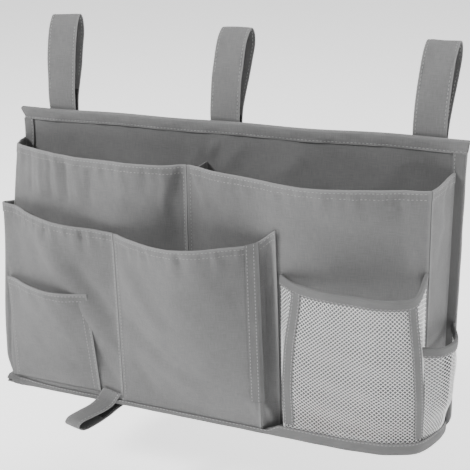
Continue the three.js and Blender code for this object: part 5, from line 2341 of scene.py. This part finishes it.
@dataclass(frozen=True)
class Studio:
    """Camera, lights and floor."""

    azimuth: float = 23.31
    elevation: float = 20.32
    roll: float = -1.44
    distance: float = 1.00726
    target: tuple[float, float, float] = (0.00808, 0.0, -0.11932)
    sensor: float = 36.0
    focal_px: float = 969.01
    picture_px: float = 470.0
    floor_z: float = -0.42
    surround: float = 0.45

    def build(self) -> None:
        """Makes the camera, the lights and the floor."""
        self.camera()
        self.lights()
        self.floor()

    def camera(self) -> None:
        """The camera at the photograph's angle."""
        a, e = math.radians(self.azimuth), math.radians(self.elevation)
        back = Vector((math.sin(a) * math.cos(e), -math.cos(a) * math.cos(e), math.sin(e)))
        right = (-back).cross(Vector((0, 0, 1))).normalized()
        up = right.cross(-back)
        turn = math.radians(self.roll)
        right, up = (math.cos(turn) * right + math.sin(turn) * up,
                     -math.sin(turn) * right + math.cos(turn) * up)
        data = bpy.data.cameras.new("camera")
        data.sensor_width = self.sensor
        data.lens = self.focal_px / self.picture_px * self.sensor
        data.clip_start, data.clip_end = 0.05, 20
        camera = bpy.data.objects.new("camera", data)
        bpy.context.scene.collection.objects.link(camera)
        axes = Matrix((right, up, back)).transposed().to_4x4()
        axes.translation = Vector(self.target) + back * self.distance
        camera.matrix_world = axes
        bpy.context.scene.camera = camera

    def lights(self) -> None:
        """Soft studio light: a pale surround, a key at the upper left, a side and a top light."""
        world = bpy.data.worlds.new("studio")
        world.use_nodes = True
        world.node_tree.nodes["Background"].inputs[0].default_value = (1, 1, 1, 1)
        world.node_tree.nodes["Background"].inputs[1].default_value = self.surround
        bpy.context.scene.world = world
        for name, place, power, size in (
            ("key", (-1.5, -1.4, 1.5), 88, 0.6),
            ("side", (1.7, 0.45, 0.5), 24, 0.5),
            ("top", (0, 0.2, 2.6), 80, 3),
        ):
            data = bpy.data.lights.new(name, "AREA")
            data.energy, data.size = power, size
            light = bpy.data.objects.new(name, data)
            bpy.context.scene.collection.objects.link(light)
            light.location = place
            aim = Vector((0, -0.03, -0.12)) - Vector(place)
            light.rotation_euler = aim.to_track_quat("-Z", "Y").to_euler()

    def floor(self) -> None:
        """A plain white floor that shines a little, as the photograph's white ground does."""
        size = 6
        mesh = bpy.data.meshes.new("floor")
        corners = [(-size, -size), (size, -size), (size, size), (-size, size)]
        mesh.from_pydata([(x, y, self.floor_z) for x, y in corners], [], [(0, 1, 2, 3)])
        material = bpy.data.materials.new("floor")
        material.use_nodes = True
        shader = material.node_tree.nodes["Principled BSDF"]
        shader.inputs["Base Color"].default_value = (0.93, 0.93, 0.93, 1)
        shader.inputs["Roughness"].default_value = 0.9
        shader.inputs["Emission Color"].default_value = (1, 1, 1, 1)
        shader.inputs["Emission Strength"].default_value = 1
        mesh.materials.append(material)
        floor = bpy.data.objects.new("floor", mesh)
        bpy.context.scene.collection.objects.link(floor)
        floor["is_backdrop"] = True


def dress_board(nodes: dict[str, Piece]) -> None:
    """Gives the CAD model's own back board its finish.

    Args:
        nodes: The CAD model's nodes by name.
    """
    board = nodes["back_board"]
    board.data.materials.clear()
    board.data.materials.append(Finish.BOARD.material)
    Finish.BOARD.slot
    LOG.info("%s: %d points", board.name, len(board.data.vertices))


def corners(box: tuple[Vector, Vector]) -> list[list[float]]:
    """A box's two corners as plain lists."""
    return [[float(v) for v in corner] for corner in box]


def main() -> None:
    """Builds the caddy around its frame."""
    logging.basicConfig(level=logging.INFO, format="%(message)s")
    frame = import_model()
    cad = corners(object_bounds())
    Studio().build()
    lines = PocketLines()
    BackPanel().build()
    Base().build()
    Pockets(lines).build()
    NetPockets(lines).build()
    Straps().build()
    dress_board(frame["nodes"])
    {"cad": cad, "visual": corners(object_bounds())}


if __name__ == "__main__":
    main()
